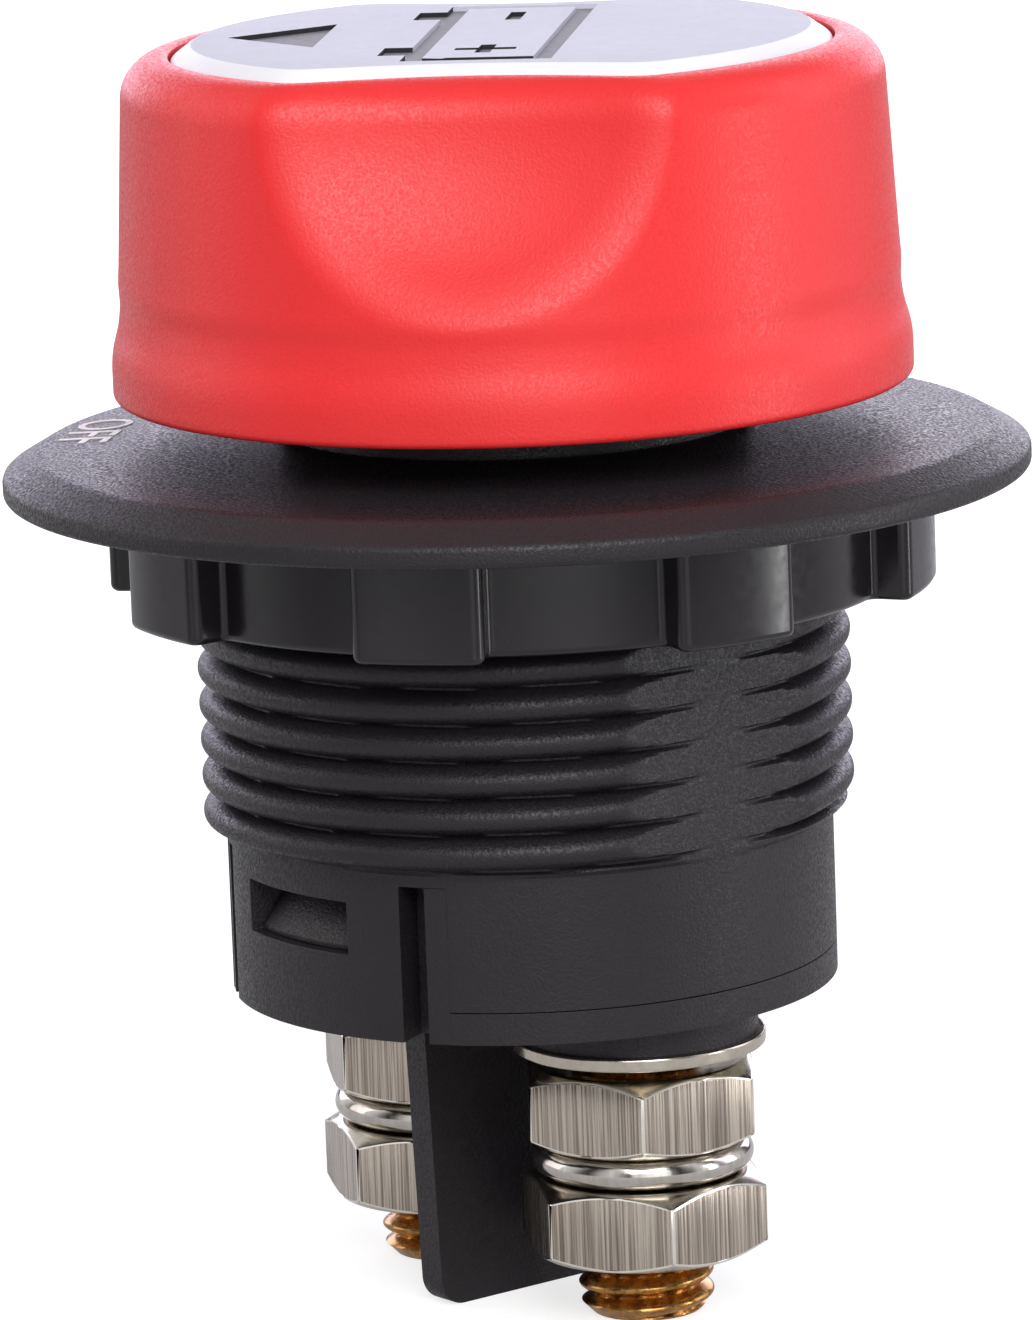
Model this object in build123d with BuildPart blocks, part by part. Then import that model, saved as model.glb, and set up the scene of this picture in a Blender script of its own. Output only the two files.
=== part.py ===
"""Panel-mounted battery disconnect switch with a red turn knob.

The axis is +Z. The origin is on the axis at the stud ends and the foot of the terminal divider,
so the switch stands on z = 0. The two studs lie on X, and the divider between them on Y.
"""
from build123d import *
from math import cos, radians, sin, sqrt, tan
import os

os.makedirs("parts", exist_ok=True)

# Barrel of the housing
barrel_r = 17.75
barrel_wall = 2.25
barrel_length = 29.8
thread_crest = 1.3
thread_pitch = 2.12
thread_root_width = 1.9
thread_tip_width = 0.55
thread_start = 10.0
tongue_half_angle = 26.5
slot_half_angle = 36.2
slot_height = 9.4
slot_rib_angle = 4.3
window_half_angle = 15.0
window_foot = 4.6
window_height = 3.3
bore_r = barrel_r - barrel_wall

# Terminal stack, from the stud ends upwards. Its M8 sizes are shares of the barrel, so that a smaller
# or larger barrel gets the smaller or larger hardware that fits under it
stud_r = barrel_r * 0.22254
stud_x = barrel_r * 0.52958
stud_grip_r = stud_r * 0.91
stud_tail = 3.7
stud_relief = 0.2
stud_chamfer = 0.8
nut_across_flats = stud_r * 3.2911
nut_height = 4.7
lock_washer_height = 2.0
lock_washer_r = stud_r * 1.6456
lock_washer_edge_r = 0.8
lock_washer_split = 0.9
washer_gap = 0.8
flat_washer_height = 0.8
flat_washer_r = stud_r * 1.8734
flat_washer_edge = 0.13
thread_fit = 0.05
nut_face_share = 0.96
nut_chamfer_angle = 30.0
washer_fit = 0.25
lower_nut_corner_angles = {"right": -26.0, "left": -22.7}
upper_nut_corner_angles = {"right": -38.0, "left": -29.0}

# Base plate with its terminal divider
boss_r = stud_r * 1.7722
boss_height = 1.8
rim_height = 1.9
base_floor = 3.5
divider_thickness = 1.9
divider_top_width = 18.4
divider_foot_width = 17.0
divider_corner_r = 1.6
plug_fit = 0.2
seam_gap = 0.05
latch_fit = 0.3
latch_wall = 1.9
latch_arm_height = 5.6
latch_reach = 1.8
latch_side_gap = 1.5
rib_side_gap = 0.4
spring_post_gap = 0.6
spring_post_height = 3.5

# Flange and neck
flange_r = 29.85
flange_rim_height = 1.2
flange_edge_r = 0.35
flange_bevel_width = 2.05
flange_bevel_rise = 1.2
flange_crown = 0.7
neck_r = 13.6
neck_height = 4.0
roof_thickness = 5.0

# Ring nut
ring_wall = 2.85
ring_height = 6.2
ring_gap = 0.35
ring_fit = 0.1
lobe_count = 8
lobe_height = 2.3
lobe_angle = 18.5
lobe_phase = -7.5
lobe_edge_r = 0.5

# Knob
knob_gap = 2.4
knob_top_r = 21.9
knob_height = knob_top_r * 0.90183
knob_skirt_r = knob_top_r * 1.05936
knob_skirt_height = knob_top_r * 0.11872
knob_shoulder_height = knob_top_r * 0.08676
knob_waist_r = knob_top_r * 1.03288
knob_waist_height = knob_top_r * 0.10046
knob_foot_r = 0.4
knob_wall = 2.1
knob_top_fillet = knob_top_r * 0.10502
knob_crest = 0.25
knob_deck = 2.0
knob_hub_r = 8.2
knob_rib = 1.6
knob_rib_drop = 7.5
knob_rib_angles = (52, 90, 128, 232, 270, 308)
scoop_angle = -45.0
scoop_depth = knob_top_r * 0.20548
scoop_sweep_r = knob_top_r * 1.78082
scoop_arc_r = knob_top_r * 0.77626
scoop_edge_r = knob_top_r * 0.08219

# Cap insert in the knob
cap_fit = 0.15
cap_r = knob_top_r - knob_top_fillet - knob_crest - 2 * cap_fit
cap_seat_depth = 1.9
cap_height = 2.45
cap_bevel_width = 1.2
cap_bevel_height = 0.9
cap_spigot_r = 6.6
cap_spigot_wall = 1.3
cap_spigot_depth = 2.1
cap_corner_r = 1.5

# Spindle, cam and the pieces on it
shaft_r = 6.0
shaft_fit = 0.08
drive_square = 8.0
drive_fit = 0.05
drive_length = knob_height * 0.52658
drum_gap = 2.5
thrust_gap = 1.0
thrust_height = 4.2
thrust_washer_height = 0.8
thrust_washer_width = 5.92
end_play = 0.1
drum_hollow_r = 6.6
drum_hollow_roof = 5.5
pilot_r = 2.5
pilot_length = 8.0
seal_section_r = 0.7
seal_groove_width = 1.7
seal_height = 4.5
screw_r = 1.95
screw_length = 12.0
screw_head_r = 3.8
screw_head_height = 2.2
screw_fit = 0.05

# Contacts and their carrier
contact_travel = 2.5
contact_rest_gap = 0.2
stud_head_gap = 0.33
stud_head_height = 2.4
contact_pad_r = stud_r * 0.81013
contact_pad_height = 0.6
rivet_head_r = stud_r * 0.81013
rivet_head_height = 1.0
rivet_shank_r = 1.5
bridge_end_gap = 1.5
bridge_width = 10.0
bridge_thickness = 2.0
carrier_gap = 0.6
carrier_thickness = 3.0
carrier_cheek = 2.0
carrier_cheek_length = 16.0
carrier_hub_r = 5.0
carrier_hub_height = 4.6
carrier_fit = 0.1
key_width = 4.0
key_depth = 1.6
key_fit = 0.25
follower_r = 1.2
follower_height = 3.3
follower_inset = 3.0
follower_length = 2.0
cam_clearance = 0.35
return_spring_gap = 0.5
return_spring_wire = 0.9
return_spring_turns = 3.25

# Detents
ball_r = 1.5
ball_reach = 0.3
pocket_fit = 0.05
pocket_depth = 7.5
detent_angle = 45.0
cam_dwell_half = 22.5
run_gap = 0.3
detent_wire = 0.45
detent_turns = 4.5
notch_depth = 0.5
notch_r = 2.0
notch_count = 4

# Heights worked out from the sizes above
lower_nut_z = stud_tail
lock_washer_z = lower_nut_z + nut_height
upper_nut_z = lock_washer_z + lock_washer_height
flat_washer_z = upper_nut_z + nut_height + washer_gap
boss_z = flat_washer_z + flat_washer_height
base_z = boss_z + boss_height
seam_z = base_z + rim_height
floor_z = base_z + base_floor
flange_z = base_z + barrel_length
flange_top_z = flange_z + flange_rim_height + flange_bevel_rise + flange_crown
neck_top_z = flange_top_z + neck_height
roof_z = flange_top_z - roof_thickness
ring_top_z = flange_z - ring_gap
knob_z = flange_top_z + knob_gap
knob_top_z = knob_z + knob_height
cap_seat_z = knob_top_z - cap_seat_depth
deck_z = cap_seat_z - knob_deck

crest_r = barrel_r + thread_crest
stud_head_r = bore_r - stud_x - stud_head_gap
return_spring_r = stud_x - stud_head_r * cos(radians(30)) - return_spring_gap - return_spring_wire / 2
spring_post_r = return_spring_r - return_spring_wire / 2 - spring_post_gap
drum_r = bore_r - drum_gap
thrust_r = bore_r - thrust_gap
thrust_washer_r = shaft_r + shaft_fit + thrust_washer_width
carrier_r = bore_r - carrier_gap
bridge_length = 2 * (bore_r - bridge_end_gap)
follower_radius = drum_r - follower_inset
pocket_floor_r = thrust_r - pocket_depth
stud_head_top_z = floor_z + stud_head_height + contact_pad_height
rivet_z = stud_head_top_z + contact_rest_gap + contact_travel
bridge_z = rivet_z + rivet_head_height
carrier_z = bridge_z + bridge_thickness
carrier_top_z = carrier_z + carrier_thickness
follower_top_z = carrier_top_z + follower_height
cam_high_z = follower_top_z + cam_clearance
cam_low_z = cam_high_z - contact_travel
thrust_top_z = roof_z - end_play - thrust_washer_height
thrust_z = thrust_top_z - thrust_height
shaft_top_z = neck_top_z + 2 * shaft_fit
hub_z = shaft_top_z + 2 * shaft_fit
drive_top_z = shaft_top_z + drive_length
spigot_floor_z = cap_seat_z - cap_spigot_depth - cap_fit
ball_centre_r = bore_r - ball_reach - ball_r
ball_z = (thrust_z + thrust_top_z) / 2

nut_corner_r = nut_across_flats / sqrt(3)
scoop_axis_r = knob_top_r - scoop_depth + scoop_sweep_r
scoop_axis_x = scoop_axis_r * cos(radians(scoop_angle))
scoop_axis_y = scoop_axis_r * sin(radians(scoop_angle))
cap_cut_r = scoop_sweep_r + knob_top_fillet + cap_fit + knob_crest


def sector(middle, half_angle, reach):
    """Add a pie-shaped face about the axis to the current sketch."""
    side = reach / cos(radians(half_angle))
    rays = [radians(middle - half_angle), radians(middle + half_angle)]
    Polygon((0, 0), *[(side * cos(ray), side * sin(ray)) for ray in rays], align=None)


def radial_plane(angle):
    """Return the plane through the axis whose X points outwards at this polar angle, and whose Y is up."""
    outwards = Vector(cos(radians(angle)), sin(radians(angle)), 0)
    return Plane(origin=(0, 0, 0), x_dir=outwards, z_dir=outwards.cross(Vector(0, 0, 1)))


def finish(part, name):
    """Label a finished piece and write its file."""
    part.label = name
    export_step(part, f"parts/{name}.step")


def scoop_tool(grow):
    """Return the round-bottomed cutter of one thumb scoop, grown outwards by a wall."""
    sweep = scoop_sweep_r + grow
    arc = scoop_arc_r + grow
    axis_plane = radial_plane(scoop_angle)
    with BuildPart() as tool:
        with BuildSketch(Plane.XZ):
            with BuildLine():
                Line((0, knob_top_z - arc), (sweep - arc, knob_top_z - arc))
                RadiusArc((sweep - arc, knob_top_z - arc), (sweep, knob_top_z), -arc)
                Polyline((sweep, knob_top_z), (sweep, knob_top_z + arc), (0, knob_top_z + arc))
                Line((0, knob_top_z + arc), (0, knob_top_z - arc))
            make_face()
        revolve(axis=Axis.Z)
    return tool.part.moved(Location(axis_plane.x_dir * scoop_axis_r))


# Housing: flange, neck and threaded barrel in one moulding
with BuildPart() as housing:
    with BuildSketch(Plane.XZ):
        with BuildLine():
            Polyline(
                (bore_r, base_z),
                (barrel_r, base_z),
                (barrel_r, flange_z),
                (flange_r, flange_z),
                (flange_r, flange_z + flange_rim_height),
                (flange_r - flange_bevel_width, flange_z + flange_rim_height + flange_bevel_rise),
                (neck_r, flange_top_z),
                (neck_r, neck_top_z),
                (shaft_r + shaft_fit, neck_top_z),
                (shaft_r + shaft_fit, roof_z),
                (bore_r, roof_z),
                close=True,
            )
        make_face()
    revolve(axis=Axis.Z)
    round_edges = housing.edges().filter_by(GeomType.CIRCLE)
    fillet(round_edges.filter_by(lambda e: e.radius > flange_r - flange_edge_r), flange_edge_r)
    with BuildSketch(Plane.XZ):
        thread_z = base_z + thread_start
        while thread_z < flange_z - thread_pitch / 2:
            with BuildLine():
                Polyline(
                    (barrel_r - barrel_wall / 2, thread_z - thread_root_width / 2),
                    (barrel_r, thread_z - thread_root_width / 2),
                    (crest_r, thread_z - thread_tip_width / 2),
                    (crest_r, thread_z + thread_tip_width / 2),
                    (barrel_r, thread_z + thread_root_width / 2),
                    (barrel_r - barrel_wall / 2, thread_z + thread_root_width / 2),
                    close=True,
                )
            make_face()
            thread_z += thread_pitch
    revolve(axis=Axis.Z)
    flat_span = 2 * crest_r
    with BuildSketch(Plane.XY.offset(base_z)):
        with Locations((barrel_r + crest_r, 0), (-barrel_r - crest_r, 0)):
            Rectangle(flat_span, flat_span)
    extrude(amount=barrel_length, mode=Mode.SUBTRACT)
    with BuildSketch(Plane.XY.offset(base_z)):
        sector(0, 90 - slot_half_angle, crest_r)
        sector(180, 90 - slot_half_angle, crest_r)
    extrude(amount=rim_height, mode=Mode.SUBTRACT)
    with BuildSketch(Plane.XY.offset(base_z)):
        for side in (90, -90):
            for turn in (1, -1):
                middle = side + turn * (tongue_half_angle + slot_half_angle) / 2
                sector(middle, (slot_half_angle - tongue_half_angle) / 2, crest_r)
    extrude(amount=slot_height, mode=Mode.SUBTRACT)
    with BuildSketch(Plane.XY.offset(base_z + window_foot)):
        sector(90, window_half_angle, crest_r)
        sector(-90, window_half_angle, crest_r)
    extrude(amount=window_height, mode=Mode.SUBTRACT)
    key_foot_z = carrier_z - contact_travel
    with BuildSketch(Plane.XY.offset(key_foot_z)):
        key_y = bore_r - key_depth / 2 + barrel_wall / 4
        with Locations((0, key_y), (0, -key_y)):
            Rectangle(key_width, key_depth + barrel_wall / 2)
    extrude(amount=thrust_z - run_gap - key_foot_z)
    with BuildSketch(Plane.XY.offset(thrust_z)):
        with PolarLocations(bore_r + notch_depth - notch_r, notch_count, start_angle=detent_angle):
            Circle(notch_r)
    extrude(amount=thrust_height, mode=Mode.SUBTRACT)
finish(housing.part, "housing")

# Ring nut with its gripping lobes
ring_r = crest_r + ring_wall
lobe_r = ring_r + lobe_height
lobe_pitch = 360 / lobe_count
with BuildPart() as ring_nut:
    with BuildSketch(Plane.XY.offset(ring_top_z - ring_height)):
        Circle(lobe_r)
        Circle(crest_r + ring_fit, mode=Mode.SUBTRACT)
    extrude(amount=ring_height)
    with BuildSketch(Plane.XY.offset(ring_top_z - ring_height)):
        for lobe in range(lobe_count):
            sector(lobe_phase + lobe_pitch * (lobe + 0.5), (lobe_pitch - lobe_angle) / 2, lobe_r)
        Circle(ring_r, mode=Mode.SUBTRACT)
    extrude(amount=ring_height, mode=Mode.SUBTRACT)
    upright_edges = ring_nut.edges().filter_by(Axis.Z)
    outer = upright_edges.filter_by(lambda e: Vector(e.center().X, e.center().Y).length > ring_r + lobe_edge_r)
    fillet(outer, lobe_edge_r)
finish(ring_nut.part, "ring_nut")

# Base: floor, rim, snap latches, bosses and the divider between the terminals
plug_r = bore_r - plug_fit
rim_edge_angle = slot_half_angle - rib_side_gap
latch_angle = window_half_angle - latch_side_gap
with BuildPart() as base:
    with BuildSketch(Plane.XY.offset(base_z)):
        for side in (0, 180):
            sector(side, 90 - rim_edge_angle, barrel_r)
        Circle(barrel_r, mode=Mode.INTERSECT)
    extrude(amount=rim_height - seam_gap)
    with BuildSketch(Plane.XY.offset(base_z)):
        Circle(plug_r)
    extrude(amount=base_floor)
    with BuildSketch(Plane.XY.offset(floor_z)):
        for side in (90, -90):
            sector(side, rim_edge_angle, plug_r)
        Circle(plug_r, mode=Mode.INTERSECT)
        Circle(plug_r - latch_wall, mode=Mode.SUBTRACT)
    extrude(amount=latch_arm_height)
    with BuildSketch(Plane.XY.offset(base_z)):
        for side in (90, -90):
            for turn in (1, -1):
                sector(side + turn * (rim_edge_angle - slot_rib_angle / 2), slot_rib_angle / 2, barrel_r)
        Circle(barrel_r - seam_gap, mode=Mode.INTERSECT)
        Circle(plug_r - latch_wall, mode=Mode.SUBTRACT)
    extrude(amount=slot_height - latch_fit)
    for side in (90, -90):
        with BuildSketch(radial_plane(side - latch_angle)):
            with BuildLine():
                Polyline(
                    (plug_r - latch_wall / 2, base_z + window_foot + latch_fit),
                    (plug_r + latch_reach, base_z + window_foot + latch_fit),
                    (plug_r + latch_reach, base_z + window_foot + 2 * latch_fit),
                    (plug_r, base_z + window_foot + window_height - latch_fit),
                    (plug_r - latch_wall / 2, base_z + window_foot + window_height - latch_fit),
                    close=True,
                )
            make_face()
        revolve(axis=Axis.Z, revolution_arc=2 * latch_angle)
    with BuildSketch(Plane.XY.offset(boss_z)):
        with Locations((stud_x, 0), (-stud_x, 0)):
            Circle(boss_r)
    extrude(amount=boss_height)
    with BuildSketch(Plane.YZ.offset(-divider_thickness / 2)):
        with BuildLine():
            Polyline(
                (-divider_foot_width / 2, 0),
                (divider_foot_width / 2, 0),
                (divider_top_width / 2, base_z),
                (-divider_top_width / 2, base_z),
                close=True,
            )
        divider_face = make_face()
        fillet(divider_face.vertices().group_by(Axis.Z)[0], divider_corner_r)
    extrude(amount=divider_thickness)
    with Locations((0, 0, floor_z + spring_post_height / 2)):
        Cylinder(spring_post_r, spring_post_height)
    with Locations((stud_x, 0, floor_z), (-stud_x, 0, floor_z)):
        Hole(stud_grip_r + thread_fit, depth=base_floor + boss_height)
finish(base.part, "base")

# Terminal studs with their contact heads
for side, x in (("right", stud_x), ("left", -stud_x)):
    with BuildPart() as stud:
        with BuildSketch():
            with Locations((x, 0)):
                Circle(stud_r)
        extrude(amount=stud_tail - stud_relief)
        chamfer(stud.edges().group_by(Axis.Z)[0], stud_chamfer)
        with BuildSketch(Plane.XY.offset(stud_tail - stud_relief)):
            with Locations((x, 0)):
                Circle(stud_grip_r)
        extrude(amount=floor_z - stud_tail + stud_relief)
        with BuildSketch(Plane.XY.offset(floor_z)):
            with Locations((x, 0)):
                RegularPolygon(stud_head_r, 6, rotation=30)
        extrude(amount=stud_head_height)
        with BuildSketch(Plane.XY.offset(floor_z + stud_head_height)):
            with Locations((x, 0)):
                Circle(contact_pad_r)
        extrude(amount=contact_pad_height)
    finish(stud.part, f"stud_{side}")

# Terminal nuts, with a thirty degree chamfer on both faces
nut_face_r = nut_across_flats / 2 * nut_face_share
nut_chamfer = (nut_corner_r - nut_face_r) * tan(radians(nut_chamfer_angle))
for row, nut_z, corner_angles in (
    ("lower", lower_nut_z, lower_nut_corner_angles),
    ("upper", upper_nut_z, upper_nut_corner_angles),
):
    for side, x in (("right", stud_x), ("left", -stud_x)):
        with BuildPart() as nut:
            with BuildSketch(Plane.XY.offset(nut_z)):
                with Locations((x, 0)):
                    RegularPolygon(nut_corner_r, 6, rotation=corner_angles[side])
                    Circle(stud_grip_r + thread_fit, mode=Mode.SUBTRACT)
            extrude(amount=nut_height)
            with BuildSketch(Plane.XZ):
                with BuildLine():
                    Polyline(
                        (x, nut_z),
                        (x + nut_face_r, nut_z),
                        (x + nut_corner_r, nut_z + nut_chamfer),
                        (x + nut_corner_r, nut_z + nut_height - nut_chamfer),
                        (x + nut_face_r, nut_z + nut_height),
                        (x, nut_z + nut_height),
                        close=True,
                    )
                make_face()
            revolve(axis=Axis((x, 0, 0), (0, 0, 1)), mode=Mode.INTERSECT)
        finish(nut.part, f"{row}_nut_{side}")

# Flat washers against the bosses, and split lock washers between the nuts
for side, x in (("right", stud_x), ("left", -stud_x)):
    with BuildPart() as flat_washer:
        with BuildSketch(Plane.XY.offset(flat_washer_z)):
            with Locations((x, 0)):
                Circle(flat_washer_r)
                Circle(stud_r + washer_fit, mode=Mode.SUBTRACT)
        extrude(amount=flat_washer_height)
        round_edges = flat_washer.edges().filter_by(GeomType.CIRCLE)
        chamfer(round_edges.filter_by(lambda e: e.radius > lock_washer_r), flat_washer_edge)
    finish(flat_washer.part, f"flat_washer_{side}")
    with BuildPart() as lock_washer:
        washer_band = lock_washer_r - stud_r - washer_fit
        with BuildSketch(Plane.XZ):
            washer_middle_r = stud_r + washer_fit + washer_band / 2
            with Locations((x + washer_middle_r, lock_washer_z + lock_washer_height / 2)):
                RectangleRounded(washer_band, lock_washer_height, lock_washer_edge_r)
        revolve(axis=Axis((x, 0, 0), (0, 0, 1)))
        with BuildSketch(Plane.XY.offset(lock_washer_z)):
            with Locations((x, lock_washer_r / 2)):
                Rectangle(lock_washer_split, lock_washer_r)
        extrude(amount=lock_washer_height, mode=Mode.SUBTRACT)
    finish(lock_washer.part, f"lock_washer_{side}")

# Contact bridge and the two rivets that carry its contact faces
with BuildPart() as contact_bridge:
    with BuildSketch(Plane.XY.offset(bridge_z)):
        Rectangle(bridge_length, bridge_width)
        Circle(bridge_length / 2, mode=Mode.INTERSECT)
        with Locations((stud_x, 0), (-stud_x, 0)):
            Circle(rivet_shank_r + screw_fit, mode=Mode.SUBTRACT)
    extrude(amount=bridge_thickness)
finish(contact_bridge.part, "contact_bridge")

for side, x in (("right", stud_x), ("left", -stud_x)):
    with BuildPart() as contact_rivet:
        with BuildSketch(Plane.XY.offset(rivet_z)):
            with Locations((x, 0)):
                Circle(rivet_head_r)
        extrude(amount=rivet_head_height)
        fillet(contact_rivet.edges().group_by(Axis.Z)[0], rivet_head_height / 3)
        with BuildSketch(Plane.XY.offset(bridge_z)):
            with Locations((x, 0)):
                Circle(rivet_shank_r)
        extrude(amount=bridge_thickness)
    finish(contact_rivet.part, f"contact_rivet_{side}")

# Carrier that holds the bridge, keyed in the barrel so that it can only rise and fall
with BuildPart() as contact_carrier:
    with BuildSketch(Plane.XY.offset(carrier_z)):
        Circle(carrier_r)
        with Locations((0, carrier_r), (0, -carrier_r)):
            notch_depth_y = 2 * (carrier_r - bore_r + key_depth + key_fit)
            Rectangle(key_width + 2 * key_fit, notch_depth_y, mode=Mode.SUBTRACT)
    extrude(amount=carrier_thickness)
    with BuildSketch(Plane.XY.offset(carrier_z - bridge_thickness + carrier_fit)):
        with Locations((0, (bridge_width + carrier_cheek) / 2 + carrier_fit),
                       (0, -(bridge_width + carrier_cheek) / 2 - carrier_fit)):
            Rectangle(carrier_cheek_length, carrier_cheek)
    extrude(amount=bridge_thickness - carrier_fit)
    with BuildSketch(Plane.XY.offset(carrier_top_z)):
        Circle(carrier_hub_r)
    extrude(amount=carrier_hub_height)
    with BuildSketch(Plane.YZ.offset(follower_radius - follower_length / 2)) as follower_sketch:
        post_height = follower_height - follower_r
        with Locations((0, carrier_top_z + post_height / 2)):
            Rectangle(2 * follower_r, post_height)
        with Locations((0, carrier_top_z + post_height)):
            Circle(follower_r)
    extrude(amount=follower_length)
    extrude(follower_sketch.sketch.mirror(Plane.YZ), amount=-follower_length)
    with Locations((0, 0, carrier_top_z + carrier_hub_height)):
        Hole(pilot_r + run_gap, depth=carrier_hub_height + carrier_thickness)
finish(contact_carrier.part, "contact_carrier")

# Return spring round the post of the base
with BuildPart() as return_spring:
    spring_rise = bridge_z - floor_z - return_spring_wire - 2 * seam_gap
    with BuildLine() as spring_path:
        Helix(spring_rise / return_spring_turns, spring_rise, return_spring_r,
              center=(0, 0, floor_z + return_spring_wire / 2 + seam_gap))
    with BuildSketch(Plane(origin=spring_path.line @ 0, z_dir=spring_path.line % 0)):
        Circle(return_spring_wire / 2)
    sweep(is_frenet=True)
finish(return_spring.part, "return_spring")

# Sloping faces of the cam, cut out of the spindle
cam_slope = contact_travel / 2 / follower_radius
cam_middle_z = (cam_high_z + cam_low_z) / 2
with BuildPart() as cam_ramp:
    with BuildSketch(Plane.XY.offset(cam_low_z - contact_travel)):
        sector(45, 45, drum_r)
    extrude(amount=3 * contact_travel)
    split(bisect_by=Plane(origin=(0, 0, cam_middle_z), z_dir=(-cam_slope, cam_slope, 1)), keep=Keep.BOTTOM)

# Spindle: drive square, sealed shaft, thrust flange and face cam
with BuildPart() as spindle:
    with BuildSketch(Plane.XY.offset(cam_low_z)):
        Circle(drum_r)
    extrude(amount=thrust_z - cam_low_z)
    with BuildSketch(Plane.XY.offset(thrust_z)):
        Circle(thrust_r)
    extrude(amount=thrust_height)
    with BuildSketch(Plane.XY.offset(thrust_top_z)):
        Circle(shaft_r)
    extrude(amount=shaft_top_z - thrust_top_z)
    with BuildSketch(Plane.XY.offset(shaft_top_z)):
        Rectangle(drive_square, drive_square)
    extrude(amount=drive_length)
    with BuildSketch(Plane.XY.offset(cam_low_z)):
        Circle(drum_hollow_r)
    extrude(amount=drum_hollow_roof, mode=Mode.SUBTRACT)
    for turn in (0, 180):
        add(cam_ramp.part, rotation=(0, 0, turn), mode=Mode.SUBTRACT)
    with BuildSketch(Plane.XY.offset(cam_low_z)):
        for turn in (0, 180):
            sector(turn - cam_dwell_half, cam_dwell_half, drum_r)
    extrude(amount=contact_travel, mode=Mode.SUBTRACT)
    with BuildSketch(Plane.XY.offset(cam_low_z + drum_hollow_roof)):
        Circle(pilot_r)
    extrude(amount=-pilot_length)
    with BuildSketch(Plane.XY.offset(flange_top_z - seal_height + seal_groove_width)):
        Circle(shaft_r)
        Circle(shaft_r - 2 * seal_section_r - shaft_fit, mode=Mode.SUBTRACT)
    extrude(amount=seal_groove_width, mode=Mode.SUBTRACT)
    for ray in (detent_angle, detent_angle + 180):
        pocket_plane = radial_plane(ray)
        pocket_origin = pocket_plane.x_dir * pocket_floor_r + Vector(0, 0, ball_z)
        with BuildSketch(Plane(origin=pocket_origin, x_dir=(0, 0, 1), z_dir=pocket_plane.x_dir)):
            Circle(ball_r + pocket_fit)
        extrude(amount=thrust_r, mode=Mode.SUBTRACT)
    with Locations((0, 0, drive_top_z)):
        Hole(screw_r + screw_fit, depth=screw_length)
finish(spindle.part, "spindle")

with BuildPart() as shaft_seal:
    with Locations((0, 0, flange_top_z - seal_height + 1.5 * seal_groove_width)):
        Torus(shaft_r - seal_section_r, seal_section_r)
finish(shaft_seal.part, "shaft_seal")

with BuildPart() as thrust_washer:
    with BuildSketch(Plane.XY.offset(thrust_top_z)):
        Circle(thrust_washer_r)
        Circle(shaft_r + shaft_fit, mode=Mode.SUBTRACT)
    extrude(amount=thrust_washer_height)
finish(thrust_washer.part, "thrust_washer")

# Detent balls and their springs, in radial pockets of the spindle
for side, ray in (("front", detent_angle + 180), ("rear", detent_angle)):
    outwards = radial_plane(ray).x_dir
    with BuildPart() as detent_ball:
        with Locations(outwards * ball_centre_r + Vector(0, 0, ball_z)):
            Sphere(ball_r)
    finish(detent_ball.part, f"detent_ball_{side}")
    with BuildPart() as detent_spring:
        coil_r = ball_r - detent_wire
        coil_start_r = pocket_floor_r + detent_wire / 2 + seam_gap
        coil_length = ball_centre_r - ball_r - detent_wire / 2 - seam_gap - coil_start_r
        with BuildLine() as coil_path:
            Helix(coil_length / detent_turns, coil_length, coil_r,
                  center=outwards * coil_start_r + Vector(0, 0, ball_z), direction=outwards)
        with BuildSketch(Plane(origin=coil_path.line @ 0, z_dir=coil_path.line % 0)):
            Circle(detent_wire / 2)
        sweep(is_frenet=True)
    finish(detent_spring.part, f"detent_spring_{side}")

# Hollow of the knob, kept one wall inside the skirt and the thumb scoops
with BuildPart() as knob_hollow:
    with BuildSketch(Plane.XZ):
        with BuildLine():
            Polyline(
                (0, knob_z),
                (knob_skirt_r - knob_wall, knob_z),
                (knob_skirt_r - knob_wall, knob_z + knob_skirt_height),
                (knob_waist_r - knob_wall, knob_z + knob_skirt_height + knob_shoulder_height),
                (knob_top_r - knob_wall, deck_z),
                (0, deck_z),
                close=True,
            )
        make_face()
    revolve(axis=Axis.Z)
    scoop_wall = scoop_tool(knob_wall)
    for turn in (0, 180):
        add(scoop_wall, rotation=(0, 0, turn), mode=Mode.SUBTRACT)

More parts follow.
